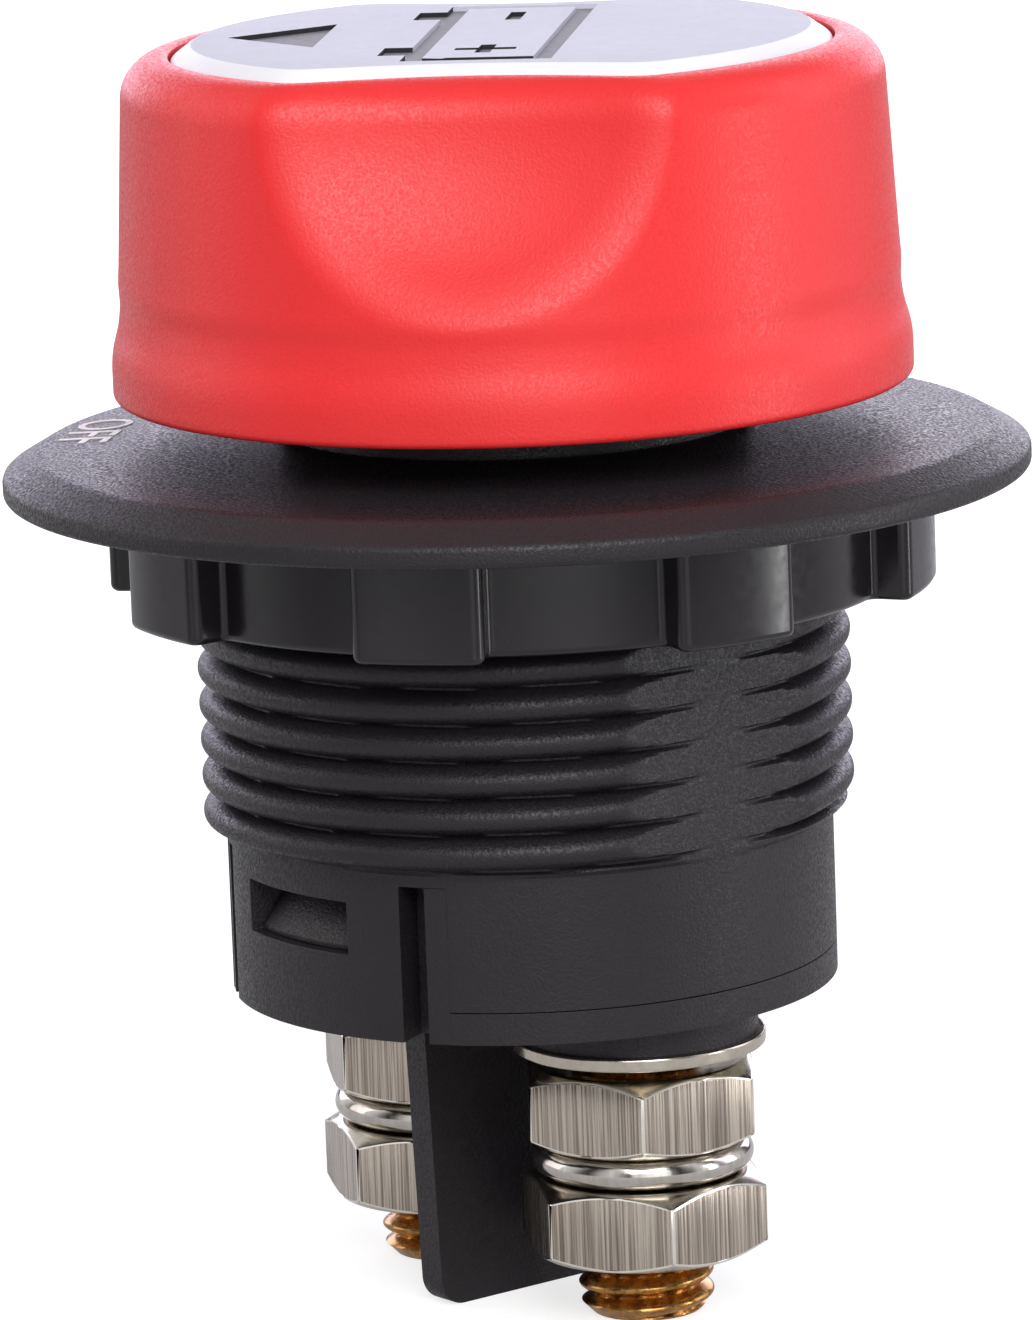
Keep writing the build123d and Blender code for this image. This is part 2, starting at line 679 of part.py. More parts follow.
# Knob: waisted skirt, two thumb scoops, rounded top and the seat of the cap
with BuildPart() as knob:
    with BuildSketch(Plane.XZ):
        with BuildLine() as knob_outline:
            Polyline(
                (0, knob_z),
                (knob_skirt_r, knob_z),
                (knob_skirt_r, knob_z + knob_skirt_height),
                (knob_waist_r, knob_z + knob_skirt_height + knob_shoulder_height),
                (knob_waist_r, knob_z + knob_skirt_height + knob_shoulder_height + knob_waist_height),
                (knob_top_r, knob_top_z),
                (0, knob_top_z),
                close=True,
            )
        knob_face = make_face()
        outline_corners = knob_face.vertices().filter_by(lambda v: v.X > cap_r)
        fillet(outline_corners.sort_by(Axis.Z)[1:4], knob_shoulder_height / 2)
        fillet(knob_face.vertices().filter_by(lambda v: v.X > cap_r).sort_by(Axis.Z)[0], knob_foot_r)
    revolve(axis=Axis.Z)
    scoop = scoop_tool(0)
    for turn in (0, 180):
        add(scoop, rotation=(0, 0, turn), mode=Mode.SUBTRACT)
    scoop_edges = knob.edges().filter_by(GeomType.BSPLINE)
    fillet(scoop_edges, scoop_edge_r)
    fillet(knob.faces().sort_by(Axis.Z)[-1].edges(), knob_top_fillet)
    add(knob_hollow.part, mode=Mode.SUBTRACT)
    with BuildSketch(Plane.XY.offset(hub_z)):
        Circle(knob_hub_r)
        Rectangle(drive_square + 2 * drive_fit, drive_square + 2 * drive_fit, mode=Mode.SUBTRACT)
    extrude(amount=drive_top_z + drive_fit - hub_z)
    with BuildSketch(Plane.XY.offset(drive_top_z + drive_fit)):
        Circle(knob_hub_r)
    extrude(amount=deck_z - drive_top_z)
    with BuildSketch(Plane.XY.offset(deck_z - knob_rib_drop)):
        for ray in knob_rib_angles:
            with Locations(Location((0, 0, 0), (0, 0, scoop_angle + ray))):
                with Locations(((knob_hub_r + knob_top_r - knob_wall / 2) / 2, 0)):
                    Rectangle(knob_top_r - knob_wall / 2 - knob_hub_r, knob_rib)
        Circle(knob_hub_r - knob_rib / 2, mode=Mode.SUBTRACT)
    extrude(amount=knob_rib_drop)
    with BuildSketch(Plane.XY.offset(cap_seat_z)):
        Circle(cap_r + cap_fit)
        with Locations((scoop_axis_x, scoop_axis_y), (-scoop_axis_x, -scoop_axis_y)):
            Circle(cap_cut_r - cap_fit, mode=Mode.SUBTRACT)
    extrude(amount=cap_seat_depth, mode=Mode.SUBTRACT)
    with Locations((0, 0, cap_seat_z)):
        Hole(cap_spigot_r + cap_fit, depth=cap_spigot_depth + cap_fit)
        Hole(screw_r + 2 * cap_fit, depth=cap_seat_z - drive_top_z)
finish(knob.part, "knob")

# Cap insert: a bevelled plate notched for the scoops, with a spigot that hides the screw
with BuildPart() as cap_insert:
    with BuildSketch(Plane.XY.offset(cap_seat_z)) as cap_sketch:
        Circle(cap_r)
        with Locations((scoop_axis_x, scoop_axis_y), (-scoop_axis_x, -scoop_axis_y)):
            Circle(cap_cut_r, mode=Mode.SUBTRACT)
        fillet(cap_sketch.vertices(), cap_corner_r)
    extrude(amount=cap_height)
    cap_face = cap_insert.faces().sort_by(Axis.Z)[-1]
    chamfer(cap_face.edges(), cap_bevel_width, cap_bevel_height, reference=cap_face)
    with BuildSketch(Plane.XY.offset(cap_seat_z - cap_spigot_depth)):
        Circle(cap_spigot_r)
        Circle(cap_spigot_r - cap_spigot_wall, mode=Mode.SUBTRACT)
    extrude(amount=cap_spigot_depth)
finish(cap_insert.part, "cap_insert")

# Screw that draws the knob onto the spindle
with BuildPart() as knob_screw:
    with BuildSketch(Plane.XY.offset(spigot_floor_z)):
        Circle(screw_head_r)
    extrude(amount=screw_head_height)
    fillet(knob_screw.edges().group_by(Axis.Z)[-1], screw_head_height / 3)
    with BuildSketch(Plane.XY.offset(spigot_floor_z)):
        Circle(screw_r)
    extrude(amount=drive_top_z - screw_length + cap_fit - spigot_floor_z)
    with BuildSketch(Plane.XY.offset(spigot_floor_z + screw_head_height)):
        for ray in (0, 90):
            Rectangle(screw_head_r, screw_head_r / 4, rotation=ray)
    extrude(amount=-screw_head_height / 2, mode=Mode.SUBTRACT)
finish(knob_screw.part, "knob_screw")
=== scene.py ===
import math

import bpy
import numpy as np
from mathutils import Matrix, Vector


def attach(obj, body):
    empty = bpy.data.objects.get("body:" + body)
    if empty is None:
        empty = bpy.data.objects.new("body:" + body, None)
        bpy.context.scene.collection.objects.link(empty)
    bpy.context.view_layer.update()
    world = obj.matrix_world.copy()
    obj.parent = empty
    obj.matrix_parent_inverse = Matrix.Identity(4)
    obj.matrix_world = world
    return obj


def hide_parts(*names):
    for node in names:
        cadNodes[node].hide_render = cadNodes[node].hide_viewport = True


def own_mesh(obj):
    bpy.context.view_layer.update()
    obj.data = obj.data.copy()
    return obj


mm = 0.001
farAway = 99.0  # in mm, well outside the switch
plain, shaped = 0, 1  # marks of a row: at its plain radius, or moved by the piece's own shape
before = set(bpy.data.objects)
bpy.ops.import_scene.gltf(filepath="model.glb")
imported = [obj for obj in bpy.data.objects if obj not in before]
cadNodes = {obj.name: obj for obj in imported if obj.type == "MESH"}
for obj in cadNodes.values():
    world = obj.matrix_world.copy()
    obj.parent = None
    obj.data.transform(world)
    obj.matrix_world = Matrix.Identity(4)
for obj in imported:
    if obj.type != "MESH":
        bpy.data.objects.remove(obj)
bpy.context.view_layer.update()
print("frame loaded:", len(cadNodes), "nodes")


def deselectAll():
    for thing in list(bpy.context.selected_objects):
        thing.select_set(False)


def pick(thing):
    deselectAll()
    thing.select_set(True)
    bpy.context.view_layer.objects.active = thing


def editAll():
    bpy.ops.object.mode_set(mode="EDIT")
    bpy.ops.mesh.select_all(action="SELECT")


def namePiece(name):
    piece = bpy.context.active_object
    piece.name = name
    piece.data.name = name
    return piece


def settle(piece):
    # the place goes into the mesh, so that the object sits at the origin
    pick(piece)
    bpy.ops.object.transform_apply(location=True, rotation=True, scale=True)
    return piece


def cleanUp(piece, gap=0.002, angle=30, flip=True):
    # points nearer than the gap are merged, and edges sharper than the angle stay sharp
    pick(piece)
    editAll()
    bpy.ops.mesh.remove_doubles(threshold=gap * mm)
    if flip:
        bpy.ops.mesh.normals_make_consistent(inside=False)
    bpy.ops.object.mode_set(mode="OBJECT")
    bpy.ops.object.shade_smooth_by_angle(angle=math.radians(angle))
    return piece


def turned(name, profile, steps=128):
    # a ring is extruded and scaled round the closed profile of (radius, height) pairs, as on a lathe
    lastR, lastZ = profile[0]
    deselectAll()
    bpy.ops.mesh.primitive_circle_add(
        vertices=steps, radius=lastR * mm, location=(0, 0, lastZ * mm), fill_type="NOTHING"
    )
    piece = namePiece(name)
    editAll()
    for r, z in profile[1:] + profile[:1]:
        bpy.ops.mesh.extrude_region_move(TRANSFORM_OT_translate={"value": (0, 0, (z - lastZ) * mm)})
        if abs(r - lastR) > 1e-6:
            bpy.ops.transform.resize(value=(r / lastR, r / lastR, 1))
        lastR, lastZ = r, z
    bpy.ops.object.mode_set(mode="OBJECT")
    settle(piece)
    return cleanUp(piece)


def wrapped(name, steps, rows, shape, angle=30):
    # a grid is wrapped round the axis: rows are (radius, height, mark), and shape places each point
    deselectAll()
    bpy.ops.mesh.primitive_grid_add(x_subdivisions=steps, y_subdivisions=len(rows) - 1, size=1)
    piece = namePiece(name)
    mesh = piece.data
    co = np.zeros(len(mesh.vertices) * 3)
    mesh.vertices.foreach_get("co", co)
    co = co.reshape(-1, 3)
    column = np.rint((co[:, 0] + 0.5) * steps).astype(int) % steps
    row = np.rint((co[:, 1] + 0.5) * (len(rows) - 1)).astype(int)
    theta = np.linspace(0, 2 * math.pi, steps, endpoint=False)[column]
    r, z, mark = (np.array(values, float)[row] for values in zip(*rows))
    points = np.stack(shape(theta, r, z, mark), 1) * mm
    mesh.vertices.foreach_set("co", points.ravel())
    mesh.update()
    return cleanUp(piece, angle=angle)


def roundXY(theta, r):
    return r * np.cos(theta), r * np.sin(theta)


def polar(r, degrees):
    return r * math.cos(math.radians(degrees)), r * math.sin(math.radians(degrees))


def quarterRound(steps):
    # along a quarter turn, the pairs of what falls from 1 to 0 and what rises from 0 to 1
    turns = [math.radians(90 * k / steps) for k in range(steps + 1)]
    return [(1 - math.sin(a), 1 - math.cos(a)) for a in turns]


def hexagon(flats, turn=0):
    return [polar(flats / math.sqrt(3), 60 * k + turn) for k in range(6)]


def prism(name, outline, low, high):
    # an outline of (x, y) points drawn up from one height to another
    deselectAll()
    bpy.ops.mesh.primitive_circle_add(vertices=len(outline), radius=mm, fill_type="NGON")
    piece = namePiece(name)
    for vertex, (x, y) in zip(piece.data.vertices, outline):
        vertex.co = (x * mm, y * mm, low * mm)
    editAll()
    bpy.ops.mesh.extrude_region_move(TRANSFORM_OT_translate={"value": (0, 0, (high - low) * mm)})
    bpy.ops.mesh.select_all(action="SELECT")
    bpy.ops.mesh.normals_make_consistent(inside=False)
    bpy.ops.object.mode_set(mode="OBJECT")
    return piece


def cylinder(name, radius, low, high, steps):
    deselectAll()
    bpy.ops.mesh.primitive_cylinder_add(
        vertices=steps, radius=radius * mm, depth=(high - low) * mm, location=(0, 0, (low + high) / 2 * mm)
    )
    return settle(namePiece(name))


def block(name, low, high):
    deselectAll()
    middle = [(a + b) / 2 * mm for a, b in zip(low, high)]
    bpy.ops.mesh.primitive_cube_add(size=1, location=middle)
    piece = namePiece(name)
    piece.scale = [(b - a) * mm for a, b in zip(low, high)]
    return settle(piece)


def carve(piece, tool, how="DIFFERENCE"):
    # the tool is used up
    pick(piece)
    cut = piece.modifiers.new("cut", "BOOLEAN")
    cut.operation = how
    cut.object = tool
    cut.solver = "EXACT"
    bpy.ops.object.modifier_apply(modifier=cut.name)
    bpy.data.objects.remove(tool, do_unlink=True)


def keepBelow(piece, height):
    # cuts the piece at this height and leaves it open there
    pick(piece)
    editAll()
    bpy.ops.mesh.bisect(
        plane_co=(0, 0, height * mm), plane_no=(0, 0, 1), clear_inner=False, clear_outer=True, threshold=1e-7
    )
    bpy.ops.object.mode_set(mode="OBJECT")
    return piece


def roundEdges(piece, width, steps=3, angle=35, clamp=True):
    # without the clamp, very short edges don't hold the rounding back
    pick(piece)
    edge = piece.modifiers.new("edge", "BEVEL")
    edge.width = width * mm
    edge.segments = steps
    edge.limit_method = "ANGLE"
    edge.angle_limit = math.radians(angle)
    edge.miter_outer = "MITER_ARC"
    edge.harden_normals = False
    edge.use_clamp_overlap = clamp
    bpy.ops.object.modifier_apply(modifier=edge.name)
    bpy.ops.object.shade_smooth_by_angle(angle=math.radians(angle))
    return piece


def evenShading(piece):
    # large faces lead the shading, so that flat walls beside rounded edges stay even
    pick(piece)
    shading = piece.modifiers.new("shading", "WEIGHTED_NORMAL")
    shading.keep_sharp = True
    bpy.ops.object.modifier_apply(modifier=shading.name)


def joined(name, *parts):
    deselectAll()
    for part in parts:
        part.select_set(True)
    bpy.context.view_layer.objects.active = parts[0]
    bpy.ops.object.join()
    return namePiece(name)


def copied(piece, name, shift, turn=0):
    # its own mesh, turned about the axis first and then moved to its stud
    twin = piece.copy()
    twin.data = piece.data.copy()
    twin.name = name
    twin.data.name = name
    bpy.context.scene.collection.objects.link(twin)
    twin.data.transform(Matrix.Translation(Vector(shift) * mm) @ Matrix.Rotation(math.radians(turn), 4, "Z"))
    return twin


def ownCopy(cadName, name):
    # a free copy of a CAD piece, which may be changed
    piece = cadNodes[cadName].copy()
    piece.data = piece.data.copy()
    for key in list(piece.keys()):
        del piece[key]
    piece.parent = None
    piece.matrix_world = Matrix.Identity(4)
    bpy.context.scene.collection.objects.link(piece)
    piece.name = name
    piece.data.name = name
    return piece


def blendMin(a, b, width):
    # the smaller of two distances, with the crease between them rounded over
    h = np.clip(0.5 + 0.5 * (b - a) / width, 0, 1)
    return b * (1 - h) + a * h - width * h * (1 - h)


def ease(x, low, high):
    t = np.clip((x - low) / (high - low), 0, 1)
    return t * t * (3 - 2 * t)


def linear(hexColour):
    # an sRGB hex colour as the shader's linear one
    parts = [int(hexColour[i : i + 2], 16) / 255 for i in (1, 3, 5)]
    return tuple(c / 12.92 if c <= 0.04045 else ((c + 0.055) / 1.055) ** 2.4 for c in parts) + (1,)


def perMm(size):
    # noise scale for a feature of this size in millimetres
    return 1000 / size


def node(tree, kind, settings=None, **links):
    # a socket goes by its name, or where names repeat by its number: 1 in settings, i1 in links
    made = tree.nodes.new(kind)
    for key, value in (settings or {}).items():
        if isinstance(key, int) or key in made.inputs:
            made.inputs[key].default_value = value
        else:
            setattr(made, key, value)
    for socket, source in links.items():
        tree.links.new(source, made.inputs[int(socket[1]) if socket in ("i0", "i1") else socket])
    return made


def startMaterial(name, colour, metallic, roughness):
    material = bpy.data.materials.new(name)
    material.use_nodes = True
    shader = material.node_tree.nodes["Principled BSDF"]
    shader.inputs["Base Color"].default_value = linear(colour)
    shader.inputs["Metallic"].default_value = metallic
    shader.inputs["Roughness"].default_value = roughness
    material.diffuse_color = linear(colour)
    return material, material.node_tree, shader


noiseLow, noiseHigh = 0.35, 0.65  # nearly all of a noise pattern lies between these
streakLow, streakHigh = 0.36, 0.6


def addFinish(tree, shader, look, pattern, toneBy):
    # two tones in the base colour, and one fine pattern in both gloss and bump
    low, high = look["roughness"] - look["glossSpread"], look["roughness"] + look["glossSpread"]
    tones = {"data_type": "RGBA", "A": linear(look["colour"]), "B": linear(look["toneTo"])}
    spread = {"From Min": noiseLow, "From Max": noiseHigh, "To Min": low, "To Max": high}
    relief = {"Strength": look["bump"], "Distance": look["depth"] * mm}
    tone = node(tree, "ShaderNodeMix", tones, Factor=toneBy)
    gloss = node(tree, "ShaderNodeMapRange", spread, Value=pattern)
    bump = node(tree, "ShaderNodeBump", relief, Height=pattern)
    tree.links.new(tone.outputs["Result"], shader.inputs["Base Color"])
    tree.links.new(gloss.outputs["Result"], shader.inputs["Roughness"])
    tree.links.new(bump.outputs["Normal"], shader.inputs["Normal"])


def mouldedPlastic(name, **look):
    # cloudy change of tone, and the mould's fine grain in gloss and bump
    material, tree, shader = startMaterial(name, look["colour"], 0, look["roughness"])
    shader.inputs["IOR"].default_value = look["ior"]
    shader.inputs["Specular IOR Level"].default_value = look["specular"]
    place = node(tree, "ShaderNodeTexCoord")
    fine = {"Scale": perMm(look["grain"]), "Detail": 2.0, "Roughness": 0.6}
    soft = {"Scale": perMm(look["cloud"]), "Detail": 3.0, "Roughness": 0.55}
    grain = node(tree, "ShaderNodeTexNoise", fine, Vector=place.outputs["Object"])
    cloud = node(tree, "ShaderNodeTexNoise", soft, Vector=place.outputs["Object"])
    addFinish(tree, shader, look, grain.outputs["Fac"], cloud.outputs["Fac"])
    return material


def drawnMetal(name, **look):
    # fine draw lines along the axis, in tone, gloss and bump
    material, tree, shader = startMaterial(name, look["colour"], 1, look["roughness"])
    place = node(tree, "ShaderNodeTexCoord")
    across, along = perMm(look["line"]), perMm(look["lineLength"])
    scale = {"Scale": (across, across, along)}
    stretch = node(tree, "ShaderNodeMapping", scale, Vector=place.outputs["Object"])
    fine = {"Scale": 1.0, "Detail": 3.0, "Roughness": 0.65}
    lines = node(tree, "ShaderNodeTexNoise", fine, Vector=stretch.outputs["Vector"])
    sharper = {"From Min": streakLow, "From Max": streakHigh}
    streak = node(tree, "ShaderNodeMapRange", sharper, Value=lines.outputs["Fac"])
    addFinish(tree, shader, look, lines.outputs["Fac"], streak.outputs["Result"])
    return material


# In the materials below, grain, cloud, line, lineLength and depth are in mm

# Glass-filled nylon, moulded in a spark-eroded tool: warm black, and it sparkles at grazing light
sparkNylon = mouldedPlastic(
    "sparkErodedBlackNylon", colour="#1D191D", toneTo="#242024", roughness=0.46, ior=1.53, grain=0.18,
    cloud=6, glossSpread=0.18, bump=0.9, depth=0.055, specular=0.3,
)
# The nut is the same nylon from a polished tool: smooth, soft reflections
smoothNylon = mouldedPlastic(
    "polishedBlackNylon", colour="#1A151B", toneTo="#1E191F", roughness=0.22, ior=1.53, grain=0.6,
    cloud=8, glossSpread=0.04, bump=0.03, depth=0.01, specular=0.36,
)
# Red ABS with a fine satin tool finish: saturated, with a soft pink sheen where it turns away
satinRedAbs = mouldedPlastic(
    "satinRedAbs", colour="#DE292B", toneTo="#E33032", roughness=0.42, ior=1.54, grain=0.18,
    cloud=9, glossSpread=0.14, bump=0.7, depth=0.04, specular=0.34,
)
# Pale grey ABS from a smooth tool: cool white with a faint lavender cast
paleAbs = mouldedPlastic(
    "smoothPaleGreyAbs", colour="#C4C4D4", toneTo="#CECEDC", roughness=0.6, ior=1.54, grain=0.5,
    cloud=1.6, glossSpread=0.08, bump=0.15, depth=0.02, specular=0.15,
)
# The cap's rim: the same ABS where its tool is polished, glossier than the top; its lighter colour is a
# painted highlight where the bevel takes the light
paleRimHighlight = mouldedPlastic(
    "paleGreyAbsPaintedHighlight", colour="#E6E6EE", toneTo="#ECECF2", roughness=0.42, ior=1.54, grain=2.5,
    cloud=9, glossSpread=0.02, bump=0.02, depth=0.01, specular=0.3,
)
# Floor of the sunk signs: matt grey on the same ABS, the sign's own grey darkened further as painted shade
# in the recesses
signGrey = mouldedPlastic(
    "mattGreySignFloor", colour="#77757D", toneTo="#807E86", roughness=0.6, ior=1.54, grain=0.5,
    cloud=9, glossSpread=0.05, bump=0.1, depth=0.02, specular=0.4,
)
# Side walls of the sunk signs: coloured dark as painted shade in the recesses
signWallShade = mouldedPlastic(
    "paintedShadeSignWall", colour="#252428", toneTo="#2C2B30", roughness=0.7, ior=1.54, grain=0.5,
    cloud=9, glossSpread=0.05, bump=0.1, depth=0.02, specular=0.2,
)
# White pad-printed ink on the flange: flat and even, a little less white than paper
printInk = mouldedPlastic(
    "whitePrintInk", colour="#E9E6E6", toneTo="#EFECEC", roughness=0.5, ior=1.5, grain=0.3,
    cloud=5, glossSpread=0.05, bump=0.1, depth=0.01, specular=0.4,
)
# Nickel-plated steel bar, cold drawn: warm grey, with upright draw lines on the flats
nickelSteel = drawnMetal(
    "drawnNickelPlatedSteel", colour="#80756B", toneTo="#CABFB3", roughness=0.24, line=0.13,
    lineLength=16, glossSpread=0.1, bump=0.35, depth=0.015,
)
# The same plating on turned chamfers and stamped washers: smooth, without draw lines
turnedNickel = drawnMetal(
    "turnedNickelPlatedSteel", colour="#B3AC9F", toneTo="#BDB6AA", roughness=0.2, line=0.8,
    lineLength=0.8, glossSpread=0.05, bump=0.04, depth=0.01,
)
# Painted highlight on the nut's rounded corners and chamfer edges: the same plating coloured much brighter
nickelEdgeHighlight = drawnMetal(
    "nickelPlatingPaintedHighlight", colour="#E3DFD6", toneTo="#EAE6DE", roughness=0.16, line=0.8,
    lineLength=0.8, glossSpread=0.04, bump=0.03, depth=0.01,
)
# Spring steel, plated bright: clean mirror bands on the round section
brightSteel = drawnMetal(
    "brightPlatedSpringSteel", colour="#B5B0AA", toneTo="#C3BEB7", roughness=0.13, line=0.5,
    lineLength=2, glossSpread=0.05, bump=0.05, depth=0.01,
)
# Rolled brass, slightly tarnished: golden brown with soft highlights
rolledBrass = drawnMetal(
    "rolledBrass", colour="#8F6638", toneTo="#BC8D52", roughness=0.24, line=0.6,
    lineLength=0.6, glossSpread=0.08, bump=0.1, depth=0.02,
)
# Stamped copper, as rolled: pinkish brown with faint lines
contactCopper = drawnMetal(
    "stampedCopper", colour="#C77B54", toneTo="#D28962", roughness=0.3, line=0.3,
    lineLength=3, glossSpread=0.08, bump=0.1, depth=0.01,
)
# Silver alloy, headed cold: pale and softly bright
contactSilver = drawnMetal(
    "silverContactRivet", colour="#D9D7D2", toneTo="#E4E2DD", roughness=0.25, line=0.4,
    lineLength=0.4, glossSpread=0.06, bump=0.05, depth=0.01,
)
# Black nitrile rubber: dull, with no clear reflection
sealRubber = mouldedPlastic(
    "nitrileRubber", colour="#18181A", toneTo="#1D1D1F", roughness=0.6, ior=1.52, grain=0.3,
    cloud=3, glossSpread=0.08, bump=0.2, depth=0.02, specular=0.4,
)
# Undyed acetal: warm white with a waxy sheen
washerAcetal = mouldedPlastic(
    "whiteAcetal", colour="#E4E2DA", toneTo="#EAE8E1", roughness=0.4, ior=1.48, grain=0.4,
    cloud=4, glossSpread=0.05, bump=0.05, depth=0.01, specular=0.5,
)
# Grey nylon of the inner pieces: even and half matt
innerNylon = mouldedPlastic(
    "naturalGreyNylon", colour="#4A494D", toneTo="#525155", roughness=0.5, ior=1.53, grain=0.4,
    cloud=5, glossSpread=0.06, bump=0.15, depth=0.02, specular=0.5,
)
print("materials made")


def coat(piece, *materials):
    # clear also sets every face back to the first material
    piece.data.materials.clear()
    for material in materials:
        piece.data.materials.append(material)


def dress(piece, materials, body, slot, *nodes):
    coat(piece, *materials)
    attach(piece, body)
    if nodes:
        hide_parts(*nodes)


knobForm = dict(
    footZ=53.8, footEdge=0.4, topZ=73.55, filletR=2.3, crest=0.25, steps=384,
    skirtR=23.2, skirtTopZ=56.4, shoulderR=22.62, shoulderZ=58.3, waistZ=60.5, topR=21.9, ease=0.8,
    ridgeZ=60.6, ridge=0.025, grooveZ=59.4, groove=0.035, ridgeWide=0.55,
    scoopAngles=(-45, 135), scoopAxisR=56.4, scoopSweepR=39.0, scoopArcR=17.0, scoopBlend=1.5,
    seatZ=71.65, seatR=19.2, seatScoop=2.55, seatBlend=1.4,
    wall=2.1, deckZ=69.65, hubR=8.2, hubFootZ=56.0,
)
outerWall, innerWall, innerFoot, seatWall = 1, 2, 3, 4  # the knob's own marks, beside plain


def circleReach(theta, middle, radius):
    # distance from the knob's axis to a circle round the scoop's axis, in each direction
    axisR = knobForm["scoopAxisR"]
    psi = (theta - math.radians(middle) + math.pi) % (2 * math.pi) - math.pi
    inside = radius**2 - (axisR * np.sin(psi)) ** 2
    reach = axisR * np.cos(psi) - np.sqrt(np.clip(inside, 0, None))
    return np.where((inside > 0) & (np.abs(psi) < math.pi / 2), reach, farAway)


def scoopReach(theta, z, grow=0):
    # distance from the axis to the nearer scoop's face, in each direction at each height
    form = knobForm
    sweep, arc = form["scoopSweepR"] + grow, form["scoopArcR"] + grow
    drop = np.clip(form["topZ"] - z, 0, None)
    rho = np.where(drop < arc, sweep - arc + np.sqrt(np.clip(arc * arc - drop * drop, 0, None)), 0)
    return np.minimum(*[circleReach(theta, middle, rho) for middle in form["scoopAngles"]])


def knobWall(z):
    # plain radius of the knob before the scoops are taken out of it
    form = knobForm
    heights = [form["footZ"], form["skirtTopZ"], form["shoulderZ"], form["waistZ"], form["topZ"]]
    radii = [form["skirtR"], form["skirtR"], form["shoulderR"], form["shoulderR"], form["topR"]]
    # the bends are eased over a short height, as the moulding's are
    bare = np.mean([np.interp(z + form["ease"] * k / 4, heights, radii) for k in range(-4, 5)], axis=0)
    ridge = form["ridge"] * np.exp(-(((z - form["ridgeZ"]) / form["ridgeWide"]) ** 2))
    groove = form["groove"] * np.exp(-(((z - form["grooveZ"]) / form["ridgeWide"]) ** 2))
    return bare + ridge - groove


def knobRows():
    form = knobForm
    foot, edge, top, fillet = form["footZ"], form["footEdge"], form["topZ"], form["filletR"]
    hub, hubFoot, deck, seat = form["hubR"], form["hubFootZ"], form["deckZ"], form["seatZ"]
    skirtTop, shoulder, waist = form["skirtTopZ"], form["shoulderZ"], form["waistZ"]
    # up the hub, out under the deck, and down the inside of the wall
    rows = [(hub - 4.0, hubFoot, plain), (hub, hubFoot, plain)]
    rows += [(hub, z, plain) for z in np.linspace(hubFoot + 0.5, deck, 8)]
    rows += [(11, deck, plain), (14, deck, plain)]
    rows += [(0, z, innerWall) for z in np.linspace(deck, foot + 0.3, 24)]
    # round the foot and up the outside, where a row's radius is how far it lies inside the wall's face
    rows.append((0.3, foot, innerFoot))
    rows += [(edge * fall, foot + edge * rise, outerWall) for fall, rise in quarterRound(4)]
    bands = [  # from, to and number of rows, closest at the bends
        (foot + 0.7, skirtTop - 0.3, 6),
        (skirtTop - 0.24, skirtTop + 0.24, 9),
        (skirtTop + 0.5, shoulder - 0.4, 4),
        (shoulder - 0.32, shoulder + 0.32, 9),
        (shoulder + 0.5, waist + 1.5, 18),
        (waist + 1.8, top - fillet, 42),
    ]
    rows += [(0, z, outerWall) for low, high, count in bands for z in np.linspace(low, high, count)]
    # over the rim and down to the cap's seat
    rows += [(fillet * rise, top - fillet * fall, outerWall) for fall, rise in quarterRound(12)[1:]]
    rows += [(fillet + form["crest"], top, outerWall), (0, top - 0.12, seatWall), (0, seat, seatWall)]
    return rows + [(12, seat, plain), (3, seat, plain)]


def knobShape(theta, r, z, mark):
    form = knobForm
    whole = blendMin(knobWall(z), scoopReach(theta, z), form["scoopBlend"])
    # the seat follows the scoops' outline at the top, straight down
    seatScoop = scoopReach(theta, farAway, form["seatScoop"])
    seat = blendMin(form["seatR"], seatScoop, form["seatBlend"])
    radius = np.select(
        [mark == outerWall, mark == innerWall, mark == innerFoot, mark == seatWall],
        [whole - r, whole - form["wall"], whole - form["wall"] + r, seat],
        default=r,
    )
    return *roundXY(theta, radius), z


def buildKnob():
    knob = wrapped("knob_shell", knobForm["steps"], knobRows(), knobShape, angle=40)
    dress(knob, [satinRedAbs], "knob_group", "knob_plastic", "knob")


buildKnob()
print("knob built")


capForm = dict(
    seatZ=71.65, topZ=74.1, radius=19.05, notchR=41.7, cornerR=1.5, bevelWide=1.2, bevelHigh=0.9, steps=288,
    signDepth=0.28, signUp=-135, arrowTip=15.9, arrowBack=10.2, arrowHalf=5.2,
    batteryHalf=4.3, batteryLong=12.3, line=1.15, poleWide=3.4, poleTall=1.6, poleAt=8.0,
    crossHalf=1.75, crossLine=0.9, signAt=7.4,
)


def capRows():
    # under the plate, up its edge, over the rounded bevel and in across the top
    form = capForm
    seat, top, wide = form["seatZ"], form["topZ"], form["bevelWide"]
    bevelFoot = top - form["bevelHigh"]
    rows = [(0, seat, plain), (6, seat, plain), (0.1, seat, shaped), (0, seat + 0.1, shaped)]
    rows += [(0, bevelFoot - 0.1, shaped), (0.03, bevelFoot + 0.02, shaped)]
    rows += [(0.16, bevelFoot + 0.15, shaped), (wide - 0.18, top - 0.13, shaped)]
    rows += [(wide, top - 0.02, shaped), (wide + 0.12, top, shaped)]
    return rows + [(10, top, plain), (5, top, plain), (0, top, plain)]


def capShape(theta, r, z, mark):
    # round, with two notches that follow the scoops
    form = capForm
    outline = form["radius"]
    for middle in knobForm["scoopAngles"]:
        outline = blendMin(outline, circleReach(theta, middle, form["notchR"]), form["cornerR"])
    return *roundXY(theta, np.where(mark == shaped, outline - r, r)), z


def signPrism(name, points):
    # points are (up, across), where up is the way that the arrow points
    form = capForm
    up, across = Vector(polar(1, form["signUp"])), Vector(polar(1, form["signUp"] + 90))
    outline = [up * u + across * v for u, v in points]
    return prism(name, outline, form["topZ"] - form["signDepth"], form["topZ"] + 1)


def rectangle(uLow, uHigh, vLow, vHigh):
    return [(uLow, vLow), (uHigh, vLow), (uHigh, vHigh), (uLow, vHigh)]


